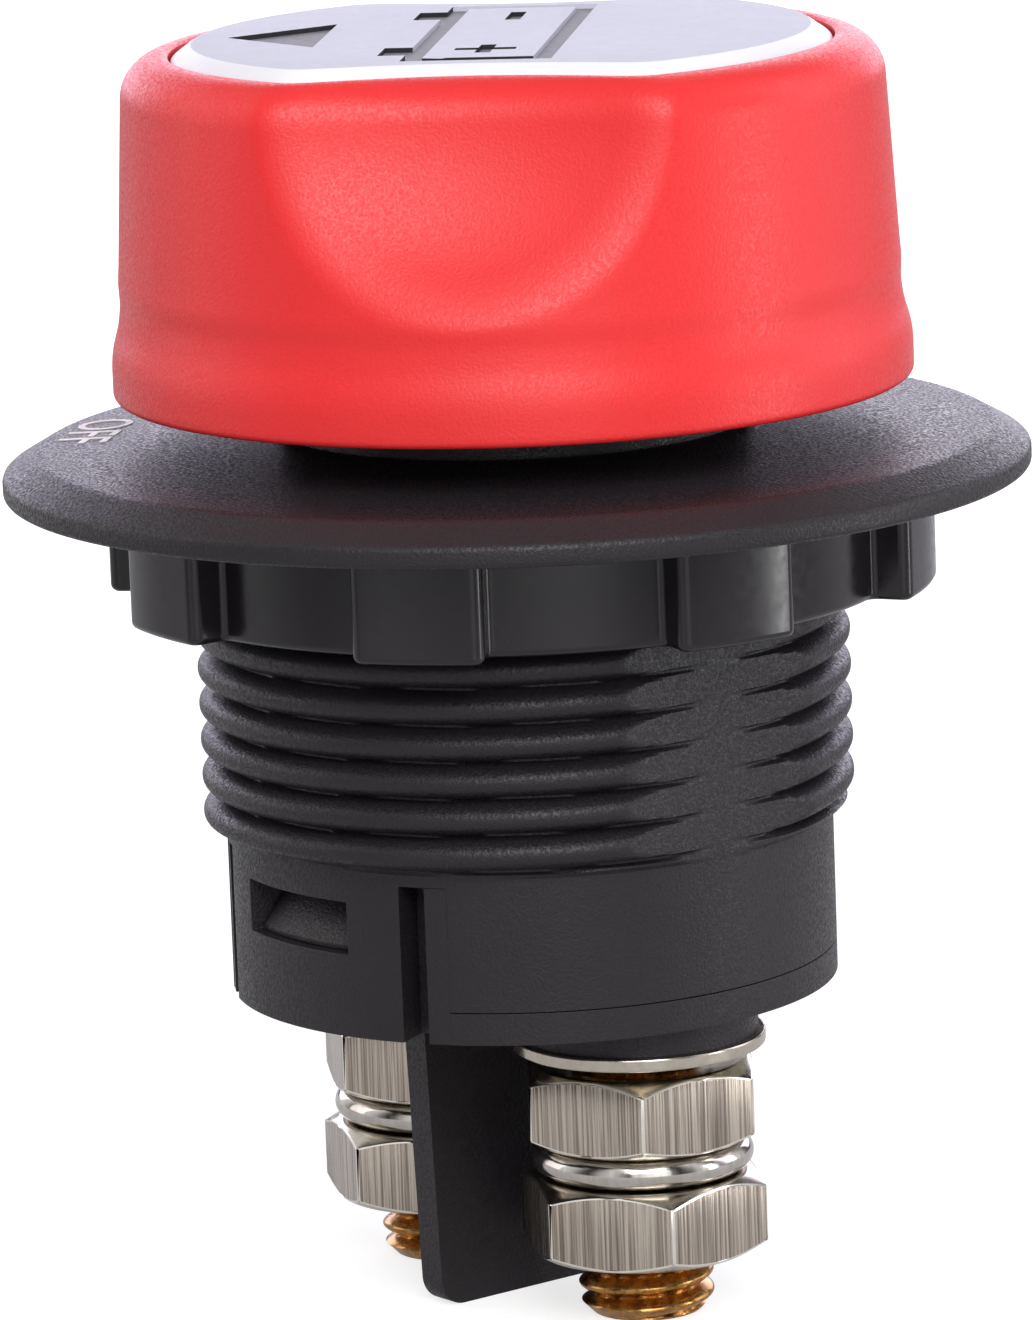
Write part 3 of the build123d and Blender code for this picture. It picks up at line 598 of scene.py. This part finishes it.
def batteryFrame():
    # the battery's outline with its two poles, hollowed to a frame
    form = capForm
    b, w, line = form["batteryHalf"], form["batteryLong"], form["line"]
    up, poleHalf = b + form["poleTall"], form["poleWide"] / 2
    near, far = form["poleAt"] - poleHalf, form["poleAt"] + poleHalf
    leftPole = [(b, -far), (up, -far), (up, -near), (b, -near)]
    rightPole = [(b, near), (up, near), (up, far), (b, far)]
    battery = signPrism("battery", [(-b, -w), (b, -w), *leftPole, *rightPole, (b, w), (-b, w)])
    # the first hollow goes through the foot, the second through the top
    for name, drop in (("lowHollow", 1), ("highHollow", 0)):
        hollow = signPrism(name, rectangle(-b + line, b - line, -w + line, w - line))
        hollow.data.transform(Matrix.Translation((0, 0, -drop * mm)))
        carve(battery, hollow)
    return battery


def buildCap():
    form = capForm
    cap = wrapped("cap_plate", form["steps"], capRows(), capShape, angle=25)
    h, c, at = form["crossHalf"], form["crossLine"] / 2, form["signAt"]
    cross = [(-c, -h), (c, -h), (c, -c), (h, -c), (h, c), (c, c)]
    cross += [(-u, -v) for u, v in cross]
    tip, back, half = form["arrowTip"], form["arrowBack"], form["arrowHalf"]
    carve(cap, batteryFrame())
    carve(cap, signPrism("plus", [(u, v + at) for u, v in cross]))
    carve(cap, signPrism("minus", rectangle(-c, c, -at - h, -at + h)))
    carve(cap, signPrism("arrow", [(tip, 0), (back, half), (back, -half)]))
    cleanUp(cap, angle=25, flip=False)
    dress(cap, [paleAbs, signGrey, signWallShade, paleRimHighlight], "knob_group", "cap_plastic", "cap_insert")
    signFloor, signWall, rim = 1, 2, 3
    for face in cap.data.polygons:
        below = form["topZ"] - face.center.z / mm
        # the sunk signs' floors get the darker grey: their own grey, partly painted shade
        if abs(below - form["signDepth"]) < 0.01 and face.normal.z > 0.9:
            face.material_index = signFloor
        # the sunk signs' side walls get the dark colour: painted shade
        elif 0.02 < below < form["signDepth"] and abs(face.normal.z) < 0.1:
            face.material_index = signWall
        # the rounded bevel gets the lighter colour: a painted highlight
        elif below <= form["bevelHigh"] and 0.1 <= face.normal.z < 0.97:
            face.material_index = rim


buildCap()
print("cap built")


housingForm = dict(
    baseZ=18.5, seamZ=20.4, splitZ=28.05, skirtTopZ=29.0, skirtReach=24, skirtTurn=0.45, skirtEdge=0.14,
    tongueHalf=26.5, slotHalf=35.8, slotTopZ=27.62, windowHalf=15.0, windowLowZ=23.35, windowHighZ=26.4,
    barrelR=17.75, boreR=15.5, shaftR=6.08, roofZ=46.4, neckR=13.6, neckTopZ=55.4, steps=288,
    crestR=19.05, pitch=2.12, crestZ=29.2, crestAngle=-128.0, crestShare=0.9, crestSide=2.3, crestTop=0.62,
    startLow=28.15, startHigh=28.9, rowsPerTurn=16,
    flangeZ=48.3, flangeR=29.85, flangeEdge=0.35, rimTopZ=49.5, bevelR=27.8, bevelZ=50.7, topZ=51.4,
)


def threadShape(theta, r, z, mark):
    # rounded crests on a helix, cut flat at the right and left
    form = housingForm
    crest = form["crestZ"] + form["pitch"] * (np.degrees(theta) - form["crestAngle"]) / 360
    phase = (z - crest) / form["pitch"]
    phase = phase - np.rint(phase)
    share = np.clip(np.abs(2 * phase / form["crestShare"]), 0, 1)
    bulge = (1 - share ** form["crestSide"]) ** form["crestTop"]
    height = (form["crestR"] - form["barrelR"]) * bulge * ease(z, form["startLow"], form["startHigh"])
    x, y = roundXY(theta, np.where(mark == shaped, form["barrelR"] + height, r))
    return np.where(mark == shaped, np.clip(x, -form["barrelR"], form["barrelR"]), x), y, z


def wedge(name, middle, half, reach, low, high):
    arc = [polar(reach, middle - half + 2 * half * k / 6) for k in range(7)]
    return prism(name, [(0, 0), *arc], low, high)


def buildSkirt():
    # the barrel's foot: front and rear a tongue between two slots, with a window in it
    form = housingForm
    bore, barrel, foot, top = form["boreR"], form["barrelR"], form["baseZ"], form["skirtTopZ"]
    skirt = turned("skirt", [(bore, foot), (barrel, foot), (barrel, top), (bore, top)], form["steps"])
    # turned a little, so that no cut runs along a row of its points
    skirt.data.transform(Matrix.Rotation(math.radians(form["skirtTurn"]), 4, "Z"))
    below, reach = foot - 1, form["skirtReach"]
    for middle in (0, 180):
        carve(skirt, wedge("gap", middle, 90 - form["slotHalf"] + 0.5, reach + 2, below, form["seamZ"]))
    for side in (90, -90):
        for turn in (1, -1):
            middle = side + turn * (form["tongueHalf"] + form["slotHalf"]) / 2
            half = (form["slotHalf"] - form["tongueHalf"]) / 2
            carve(skirt, wedge("slot", middle, half, reach, below, form["slotTopZ"]))
        low, high = form["windowLowZ"], form["windowHighZ"]
        carve(skirt, wedge("window", side, form["windowHalf"], reach, low, high))
    roundEdges(skirt, form["skirtEdge"], 2, 40)
    return keepBelow(skirt, form["splitZ"])


def housingRows():
    form = housingForm
    split, roof, low, edge = form["splitZ"], form["roofZ"], form["flangeZ"], form["flangeEdge"]
    bore, shaft, neck = form["boreR"], form["shaftR"], form["neckR"]
    bevel, rim = form["bevelR"], form["flangeR"]
    neckZ, topZ, bevelZ, rimZ = form["neckTopZ"], form["topZ"], form["bevelZ"], form["rimTopZ"]
    slope = (topZ - bevelZ) / (bevel - neck)
    # up the bore, in under the roof and up the shaft's hole
    profile = [(bore, split), (bore, roof), (shaft, roof), (shaft, neckZ)]
    # the neck, with a rounded rim and a fillet at its foot
    profile += [(neck - 0.4, neckZ), (neck - 0.12, neckZ - 0.12), (neck, neckZ - 0.4)]
    profile += [(neck, topZ + 0.5), (neck + 0.15, topZ + 0.15), (neck + 0.5, topZ - 0.02)]
    # the flange: its top falls a little towards the bevel, and its lower edge is rounded
    profile += [(r, topZ - slope * (r - neck)) for r in (18, 22, 25, 27)]
    profile += [(bevel - 0.25, bevelZ + 0.25 * slope), (bevel - 0.02, bevelZ - 0.03)]
    profile += [(bevel + 0.2, bevelZ - 0.14), (rim - 0.3, rimZ + 0.17)]
    profile += [(rim - 0.08, rimZ - 0.02), (rim, rimZ - 0.25)]
    profile += [(rim - edge * rise, low + edge * fall) for fall, rise in quarterRound(4)]
    profile += [(24, low), (form["barrelR"] + 1.35, low)]
    count = int(round((low - split) / form["pitch"] * form["rowsPerTurn"]))
    thread = [(form["barrelR"], z, shaped) for z in np.linspace(low, split, count)]
    return [(r, z, plain) for r, z in profile] + thread


def buildHousing():
    skirt = buildSkirt()
    shell = wrapped("shell", housingForm["steps"], housingRows(), threadShape, angle=32)
    housing = joined("housing_shell", shell, skirt)
    cleanUp(housing, gap=0.01, angle=38)
    evenShading(housing)
    dress(housing, [sparkNylon], "mounting", "housing_plastic", "housing")


buildHousing()
print("housing built")


ringForm = dict(
    lowZ=41.75, highZ=47.95, boreR=19.15, ringR=21.9, lobeR=24.2, lobes=8, lobeWide=18.5, phase=-7.5,
    corner=0.7, hollow=0.4, edge=0.45,
)


def ringOutline():
    # lobes with rounded corners, and a small hollow where each side meets the ring
    form = ringForm
    lobeR, ringR, corner, hollow = form["lobeR"], form["ringR"], form["corner"], form["hollow"]
    half, pitch = form["lobeWide"] / 2, 360 / form["lobes"]
    cornerTurn, hollowTurn = math.degrees(corner / lobeR), math.degrees(hollow / ringR)
    side = [(half - cornerTurn * fall, lobeR - corner * rise) for fall, rise in quarterRound(5)]
    side += [(half + hollowTurn * rise, ringR + hollow * fall) for fall, rise in quarterRound(5)]
    outer = np.linspace(-half + cornerTurn, half - cornerTurn, 11)[1:-1]
    inner = np.linspace(half + hollowTurn, pitch - half - hollowTurn, 15)[1:-1]
    lobe = [(-turn, r) for turn, r in reversed(side)] + [(turn, lobeR) for turn in outer] + side
    lobe += [(turn, ringR) for turn in inner]
    return [polar(r, form["phase"] + pitch * k + turn) for k in range(form["lobes"]) for turn, r in lobe]


def buildRing():
    form = ringForm
    ring = prism("ring_nut_shell", ringOutline(), form["lowZ"], form["highZ"])
    carve(ring, cylinder("bore", form["boreR"], form["lowZ"] - 1, form["highZ"] + 1, steps=192))
    roundEdges(ring, form["edge"], 4, 30, clamp=False)
    evenShading(ring)
    dress(ring, [smoothNylon], "panel_nut", "ring_plastic", "ring_nut")


buildRing()
print("ring nut built")


nutForm = dict(
    flats=13.0, faceR=6.24, height=4.7, boreR=4.0, chamferAngle=30, cornerEdge=0.16, edge=0.1,
    lean=0.25, offFlat=6.0, highlightFaceArea=0.9,
)
lockWasherForm = dict(middleR=5.35, halfWide=1.15, halfHigh=1.0, split=0.9, edge=0.08)
flatWasherForm = dict(boreR=4.2, outerR=7.4, thick=0.8, edge=0.14)
studForm = dict(
    crestR=3.95, rootR=3.22, pitch=1.25, chamfer=0.8, crestSharp=0.6, top=22.0, steps=72, rowsPerTurn=18,
    headFlats=10, headTop=24.4, headEdge=0.15, padR=3.2, padTop=25.0, padEdge=0.1,
)
terminal = dict(
    x=9.4, lowerNut=3.7, lockWasher=8.4, upperNut=10.4, flatWasher=15.9,
    lowerTurn={"right": -26.0, "left": -22.7}, upperTurn={"right": -38.0, "left": -29.0},
)


def buildNut():
    # hexagon bar crossed with a double cone and drilled; the stud's thread fills the bore
    form = nutForm
    height, faceR = form["height"], form["faceR"]
    reach = form["flats"] / math.sqrt(3) + 1
    drop = (reach - faceR) * math.tan(math.radians(form["chamferAngle"]))
    nut = prism("nut", hexagon(form["flats"]), 0, height)
    roundEdges(nut, form["cornerEdge"], 2, 30)
    profile = [(0.001, 0), (faceR, 0), (reach, drop)]
    profile += [(reach, height - drop), (faceR, height), (0.001, height)]
    carve(nut, turned("cone", profile, 144), "INTERSECT")
    carve(nut, cylinder("bore", form["boreR"], -1, height + 1, steps=72))
    widest = max(math.hypot(vertex.co.x, vertex.co.y) for vertex in nut.data.vertices)
    roundEdges(nut, form["edge"], 2, 25, clamp=False)
    # points that the rounding throws out at the corners are drawn back
    for vertex in nut.data.vertices:
        reach = math.hypot(vertex.co.x, vertex.co.y)
        if reach > widest:
            vertex.co.x *= widest / reach
            vertex.co.y *= widest / reach
    return cleanUp(nut, gap=0.006, angle=25)


def plateNut(nut, turn):
    # upright flats are drawn, what isn't upright was turned, and the small rounded faces at corners and
    # chamfer edges get a painted highlight in a bright colour
    form = nutForm
    flat, smooth, edgeHighlight = 0, 1, 2
    for face in nut.data.polygons:
        around = (math.degrees(math.atan2(face.normal.y, face.normal.x)) - turn) % 60 - 30
        rise = abs(face.normal.z)
        if rise <= form["lean"] and abs(around) < form["offFlat"]:
            face.material_index = flat
        # small faces of the rounded edges: painted highlight
        elif rise < 0.8 and face.area < form["highlightFaceArea"] * mm * mm:
            face.material_index = edgeHighlight
        else:
            face.material_index = smooth


def buildLockWasher():
    form = lockWasherForm
    middle, wide, high, half = form["middleR"], form["halfWide"], form["halfHigh"], form["split"] / 2
    around = np.linspace(0, 2 * math.pi, 28, endpoint=False)
    section = [(middle + wide * math.cos(a), high + high * math.sin(a)) for a in around]
    washer = turned("lock_washer", section, 160)
    carve(washer, block("split", (-half, middle - wide - 0.7, -1), (half, middle + wide + 1, 2 * high + 1)))
    return roundEdges(washer, form["edge"], 2, 45)


def buildFlatWasher():
    form = flatWasherForm
    bore, outer, thick = form["boreR"], form["outerR"], form["thick"]
    washer = turned("flat_washer", [(bore, 0), (outer, 0), (outer, thick), (bore, thick)])
    return roundEdges(washer, form["edge"], 3, 40)


def studShape(theta, r, z, mark):
    # the thread's helix, with a cone at the stud's end
    form = studForm
    phase = z / form["pitch"] - np.degrees(theta) / 360
    phase = phase - np.rint(phase)
    wave = 0.5 + 0.5 * np.cos(2 * math.pi * phase)
    depth = (form["crestR"] - form["rootR"]) * (1 - wave ** form["crestSharp"])
    tip = form["crestR"] - form["chamfer"] + z
    radius = np.where(mark == shaped, np.minimum(form["crestR"] - depth, tip), r)
    return *roundXY(theta, radius), z


def buildStud():
    form = studForm
    top = form["top"]
    count = int(top / form["pitch"] * form["rowsPerTurn"])
    rows = [(0, 0, plain), (2, 0, plain), (form["crestR"] - form["chamfer"] - 0.1, 0, plain)]
    rows += [(form["crestR"], z, shaped) for z in np.linspace(0.04, top, count)]
    rows += [(2, top, plain), (0, top, plain)]
    rod = wrapped("rod", form["steps"], rows, studShape, angle=40)
    head = prism("head", hexagon(form["headFlats"], 30), top, form["headTop"])
    roundEdges(head, form["headEdge"], 2)
    pad = cylinder("pad", form["padR"], form["headTop"] - 0.05, form["padTop"], steps=48)
    roundEdges(pad, form["padEdge"], 2)
    return joined("stud", rod, head, pad)


def buildTerminals():
    nut, lock, flat, stud = buildNut(), buildLockWasher(), buildFlatWasher(), buildStud()
    for side, sign in (("right", 1), ("left", -1)):
        x = sign * terminal["x"]
        for level in ("lower", "upper"):
            turn = terminal[f"{level}Turn"][side]
            hexNut = copied(nut, f"{level}_nut_{side}_hex", (x, 0, terminal[f"{level}Nut"]), turn)
            # the third plating colour is the painted highlight of the rounded edges
            plating = [nickelSteel, turnedNickel, nickelEdgeHighlight]
            dress(hexNut, plating, "mounting", "nickel_steel", f"{level}_nut_{side}")
            plateNut(hexNut, turn)
        washer = copied(lock, f"lock_washer_{side}_ring", (x, 0, terminal["lockWasher"]))
        dress(washer, [brightSteel], "mounting", "lock_steel", f"lock_washer_{side}")
        plate = copied(flat, f"flat_washer_{side}_ring", (x, 0, terminal["flatWasher"]))
        dress(plate, [turnedNickel], "mounting", "nickel_steel", f"flat_washer_{side}")
        rod = copied(stud, f"stud_{side}_rod", (x, 0, 0), 90)
        dress(rod, [rolledBrass], "mounting", "stud_brass", f"stud_{side}")
    for original in (nut, lock, flat, stud):
        bpy.data.objects.remove(original, do_unlink=True)


buildTerminals()
print("terminals built")


baseForm = dict(gap=0.001, flatAngle=1.0, edge=0.15)


def buildBase():
    # the CAD form, merged to whole faces, with its moulded edges softened
    form = baseForm
    base = ownCopy("base", "base_shell")
    pick(base)
    editAll()
    bpy.ops.mesh.remove_doubles(threshold=form["gap"] * mm)
    bpy.ops.mesh.dissolve_limited(angle_limit=math.radians(form["flatAngle"]))
    bpy.ops.object.mode_set(mode="OBJECT")
    roundEdges(base, form["edge"], 2, 35)
    evenShading(base)
    dress(base, [sparkNylon], "mounting", "housing_plastic", "base")


buildBase()
print("base built")


innerFinish = {
    "knob_screw": (nickelSteel, "plated_screw"),
    "spindle": (innerNylon, "inner_plastic"),
    "shaft_seal": (sealRubber, "seal_rubber"),
    "thrust_washer": (washerAcetal, "washer_acetal"),
    "detent_ball_front": (brightSteel, "lock_steel"),
    "detent_ball_rear": (brightSteel, "lock_steel"),
    "detent_spring_front": (brightSteel, "lock_steel"),
    "detent_spring_rear": (brightSteel, "lock_steel"),
    "contact_carrier": (innerNylon, "inner_plastic"),
    "contact_bridge": (contactCopper, "bridge_copper"),
    "contact_rivet_right": (contactSilver, "contact_silver"),
    "contact_rivet_left": (contactSilver, "contact_silver"),
}


def finishInside():
    for name, (material, slot) in innerFinish.items():
        coat(cadNodes[name], material)


def buildSpring():
    # a free copy of the CAD coil in bright steel; the real coil closes up towards its foot as the contacts
    # come down
    spring = ownCopy("return_spring", "return_spring_coil")
    dress(spring, [brightSteel], "mounting", "lock_steel", "return_spring")
    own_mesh(spring)


finishInside()
buildSpring()
print("inner pieces finished")


wordForm = dict(size=4.7, thick=0.03, radius=25.3, lift=0.01)


def flangeWord(name, text, around):
    # printed along the flange's slope, at this many degrees round the axis
    form, house = wordForm, housingForm
    deselectAll()
    bpy.ops.object.text_add(location=(0, 0, 0))
    word = bpy.context.active_object
    word.data.body = text
    word.data.align_x = "CENTER"
    word.data.align_y = "CENTER"
    word.data.size = form["size"] * mm
    word.data.extrude = form["thick"] * mm
    word.data.resolution_u = 4
    bpy.ops.object.convert(target="MESH")
    word = namePiece(name)
    slope = math.atan((house["topZ"] - house["bevelZ"]) / (house["bevelR"] - house["neckR"]))
    height = house["topZ"] - math.tan(slope) * (form["radius"] - house["neckR"]) + form["lift"]
    place = (
        Matrix.Translation(Vector((*polar(form["radius"], around), height)) * mm)
        @ Matrix.Rotation(math.radians(around), 4, "Z")
        @ Matrix.Rotation(slope, 4, "Y")
        @ Matrix.Rotation(math.radians(90), 4, "Z")
    )
    word.data.transform(place)
    dress(word, [printInk], "mounting", "housing_plastic")


flangeWord("word_off", "OFF", -140)
flangeWord("word_on", "ON", 130)
print("words set")


studio = dict(
    floorSize=6, floorNear=0.72, floorFar=1.0, nearEdge=0.08, farEdge=0.5, floorGloss=0.5,
    calmEdge=0.1, panelEdge=0.24, panels=7, firstPanel=-74.0, mean=0.52, swing=0.46, fill=0.38,
)


def studioPanels(tree, direction):
    # white panels with darker gaps between them all round the studio, as metal and gloss see them
    phase = -studio["panels"] * math.radians(studio["firstPanel"])
    part = node(tree, "ShaderNodeSeparateXYZ", Vector=direction)
    turn = node(tree, "ShaderNodeMath", {"operation": "ARCTAN2"}, i0=part.outputs["Y"], i1=part.outputs["X"])
    count = {"operation": "MULTIPLY_ADD", 1: studio["panels"], 2: phase}
    wave = node(tree, "ShaderNodeMath", count, i0=turn.outputs[0])
    wave = node(tree, "ShaderNodeMath", {"operation": "COSINE"}, i0=wave.outputs[0])
    level = {"operation": "MULTIPLY_ADD", 1: studio["swing"], 2: studio["mean"]}
    return node(tree, "ShaderNodeMath", level, i0=wave.outputs[0])


def seenPlainly(tree, path):
    # 1 for what the camera sees, straight or through something clear
    camera, through = path.outputs["Is Camera Ray"], path.outputs["Is Transmission Ray"]
    return node(tree, "ShaderNodeMath", {"operation": "MAXIMUM"}, i0=camera, i1=through)


def stageMaterial():
    # pale floor: white to the camera, with the object's shadow, and panels in what metal sees of it
    material, tree, shader = startMaterial("paleStudioFloor", "#A8A8A8", 0, 0.9)
    place = node(tree, "ShaderNodeTexCoord")
    path = node(tree, "ShaderNodeLightPath")
    shown = seenPlainly(tree, path)
    far = node(tree, "ShaderNodeVectorMath", {"operation": "LENGTH"}, Vector=place.outputs["Object"])
    fade = {"From Min": studio["nearEdge"], "From Max": studio["farEdge"]}
    fade.update({"To Min": studio["floorNear"], "To Max": studio["floorFar"]})
    level = node(tree, "ShaderNodeMapRange", fade, Value=far.outputs["Value"])
    calm = {"From Min": studio["calmEdge"], "From Max": studio["panelEdge"]}
    away = node(tree, "ShaderNodeMapRange", calm, Value=far.outputs["Value"])
    panels = studioPanels(tree, place.outputs["Object"])
    dim = {"operation": "MULTIPLY", 1: studio["floorGloss"]}
    panels = node(tree, "ShaderNodeMath", dim, i0=panels.outputs[0])
    even = {"A": studio["floorGloss"] * studio["mean"]}
    panels = node(tree, "ShaderNodeMix", even, Factor=away.outputs["Result"], B=panels.outputs[0])
    mirrored = path.outputs["Is Glossy Ray"]
    glossy = node(tree, "ShaderNodeMix", {"A": 0.0}, Factor=mirrored, B=panels.outputs[0])
    strength = node(
        tree, "ShaderNodeMix", Factor=shown.outputs[0], A=glossy.outputs["Result"], B=level.outputs["Result"]
    )
    glow = node(tree, "ShaderNodeEmission", {"Color": (1, 1, 1, 1)}, Strength=strength.outputs["Result"])
    both = node(tree, "ShaderNodeAddShader", i0=shader.outputs[0], i1=glow.outputs[0])
    tree.links.new(both.outputs[0], tree.nodes["Material Output"].inputs["Surface"])
    return material


def buildFloor():
    deselectAll()
    bpy.ops.mesh.primitive_plane_add(size=studio["floorSize"], location=(0, 0, 0))
    floor = namePiece("studio_floor")
    floor.data.materials.append(stageMaterial())


def buildWorld():
    # white to the camera, panels to metal and gloss, and an even fill to everything else
    world = bpy.data.worlds.new("paleStudio")
    bpy.context.scene.world = world
    world.use_nodes = True
    tree = world.node_tree
    back = tree.nodes["Background"]
    place = node(tree, "ShaderNodeTexCoord")
    path = node(tree, "ShaderNodeLightPath")
    shown = seenPlainly(tree, path)
    panels = studioPanels(tree, place.outputs["Generated"])
    fill = {"A": studio["fill"]}
    glossy = node(tree, "ShaderNodeMix", fill, Factor=path.outputs["Is Glossy Ray"], B=panels.outputs[0])
    strength = node(tree, "ShaderNodeMix", {"B": 1.0}, Factor=shown.outputs[0], A=glossy.outputs["Result"])
    tree.links.new(strength.outputs["Result"], back.inputs["Strength"])
    back.inputs["Color"].default_value = (1, 1, 1, 1)


lampAimZ = 38
lamps = {
    # name: (place in mm, width and height in mm, power in W, colour)
    "backPanel": ((-345, 270, 150), (700, 200), 1.3, "#EEE8FF"),
    "rimLeft": ((-330, -240, 200), (200, 400), 0.42, "#FFF8FA"),
    "rimRight": ((190, 380, 210), (160, 400), 0.48, "#F6F2FF"),
    "topFront": ((275, -185, 315), (260, 260), 1.3, "#FFFFFF"),
    "frontFill": ((360, -205, 120), (300, 400), 0.43, "#FFFFFF"),
    "sideStrip": ((137, 92, 45), (22, 88), 0.055, "#FFFFFF"),
}


def buildLamps():
    aim = Vector((0, 0, lampAimZ)) * mm
    for name, (place, size, power, colour) in lamps.items():
        data = bpy.data.lights.new(name, "AREA")
        data.shape = "RECTANGLE"
        data.size, data.size_y = size[0] * mm, size[1] * mm
        data.energy = power
        data.color = linear(colour)[:3]
        lamp = bpy.data.objects.new(name, data)
        bpy.context.scene.collection.objects.link(lamp)
        lamp.location = Vector(place) * mm
        lamp.visible_camera = False
        lamp.rotation_euler = (aim - lamp.location).to_track_quat("-Z", "Y").to_euler()


cameraForm = dict(
    aimZ=31.9, distance=500.0, azimuth=52.0, elevation=11.89, roll=-2.14, lens=233.2, sensor=36,
    shiftX=-0.0077, shiftY=0.0682, clipStart=0.01, clipEnd=20,
)


def buildCamera():
    form = cameraForm
    data = bpy.data.cameras.new("studioCamera")
    data.lens = form["lens"]
    data.sensor_width = form["sensor"]
    data.shift_x, data.shift_y = form["shiftX"], form["shiftY"]
    data.clip_start, data.clip_end = form["clipStart"], form["clipEnd"]
    camera = bpy.data.objects.new("studioCamera", data)
    bpy.context.scene.collection.objects.link(camera)
    a, e = math.radians(form["azimuth"]), math.radians(form["elevation"])
    back = Vector((math.sin(a) * math.cos(e), -math.cos(a) * math.cos(e), math.sin(e)))
    camera.rotation_mode = "QUATERNION"
    camera.location = (Vector((0, 0, form["aimZ"])) + back * form["distance"]) * mm
    level = (-back).to_track_quat("-Z", "Y")
    camera.rotation_quaternion = level @ Matrix.Rotation(math.radians(form["roll"]), 4, "Z").to_quaternion()
    bpy.context.scene.camera = camera


buildFloor()
buildWorld()
buildLamps()
buildCamera()
bpy.context.scene.view_settings.view_transform = "Standard"
print("stage, lamps and camera set")
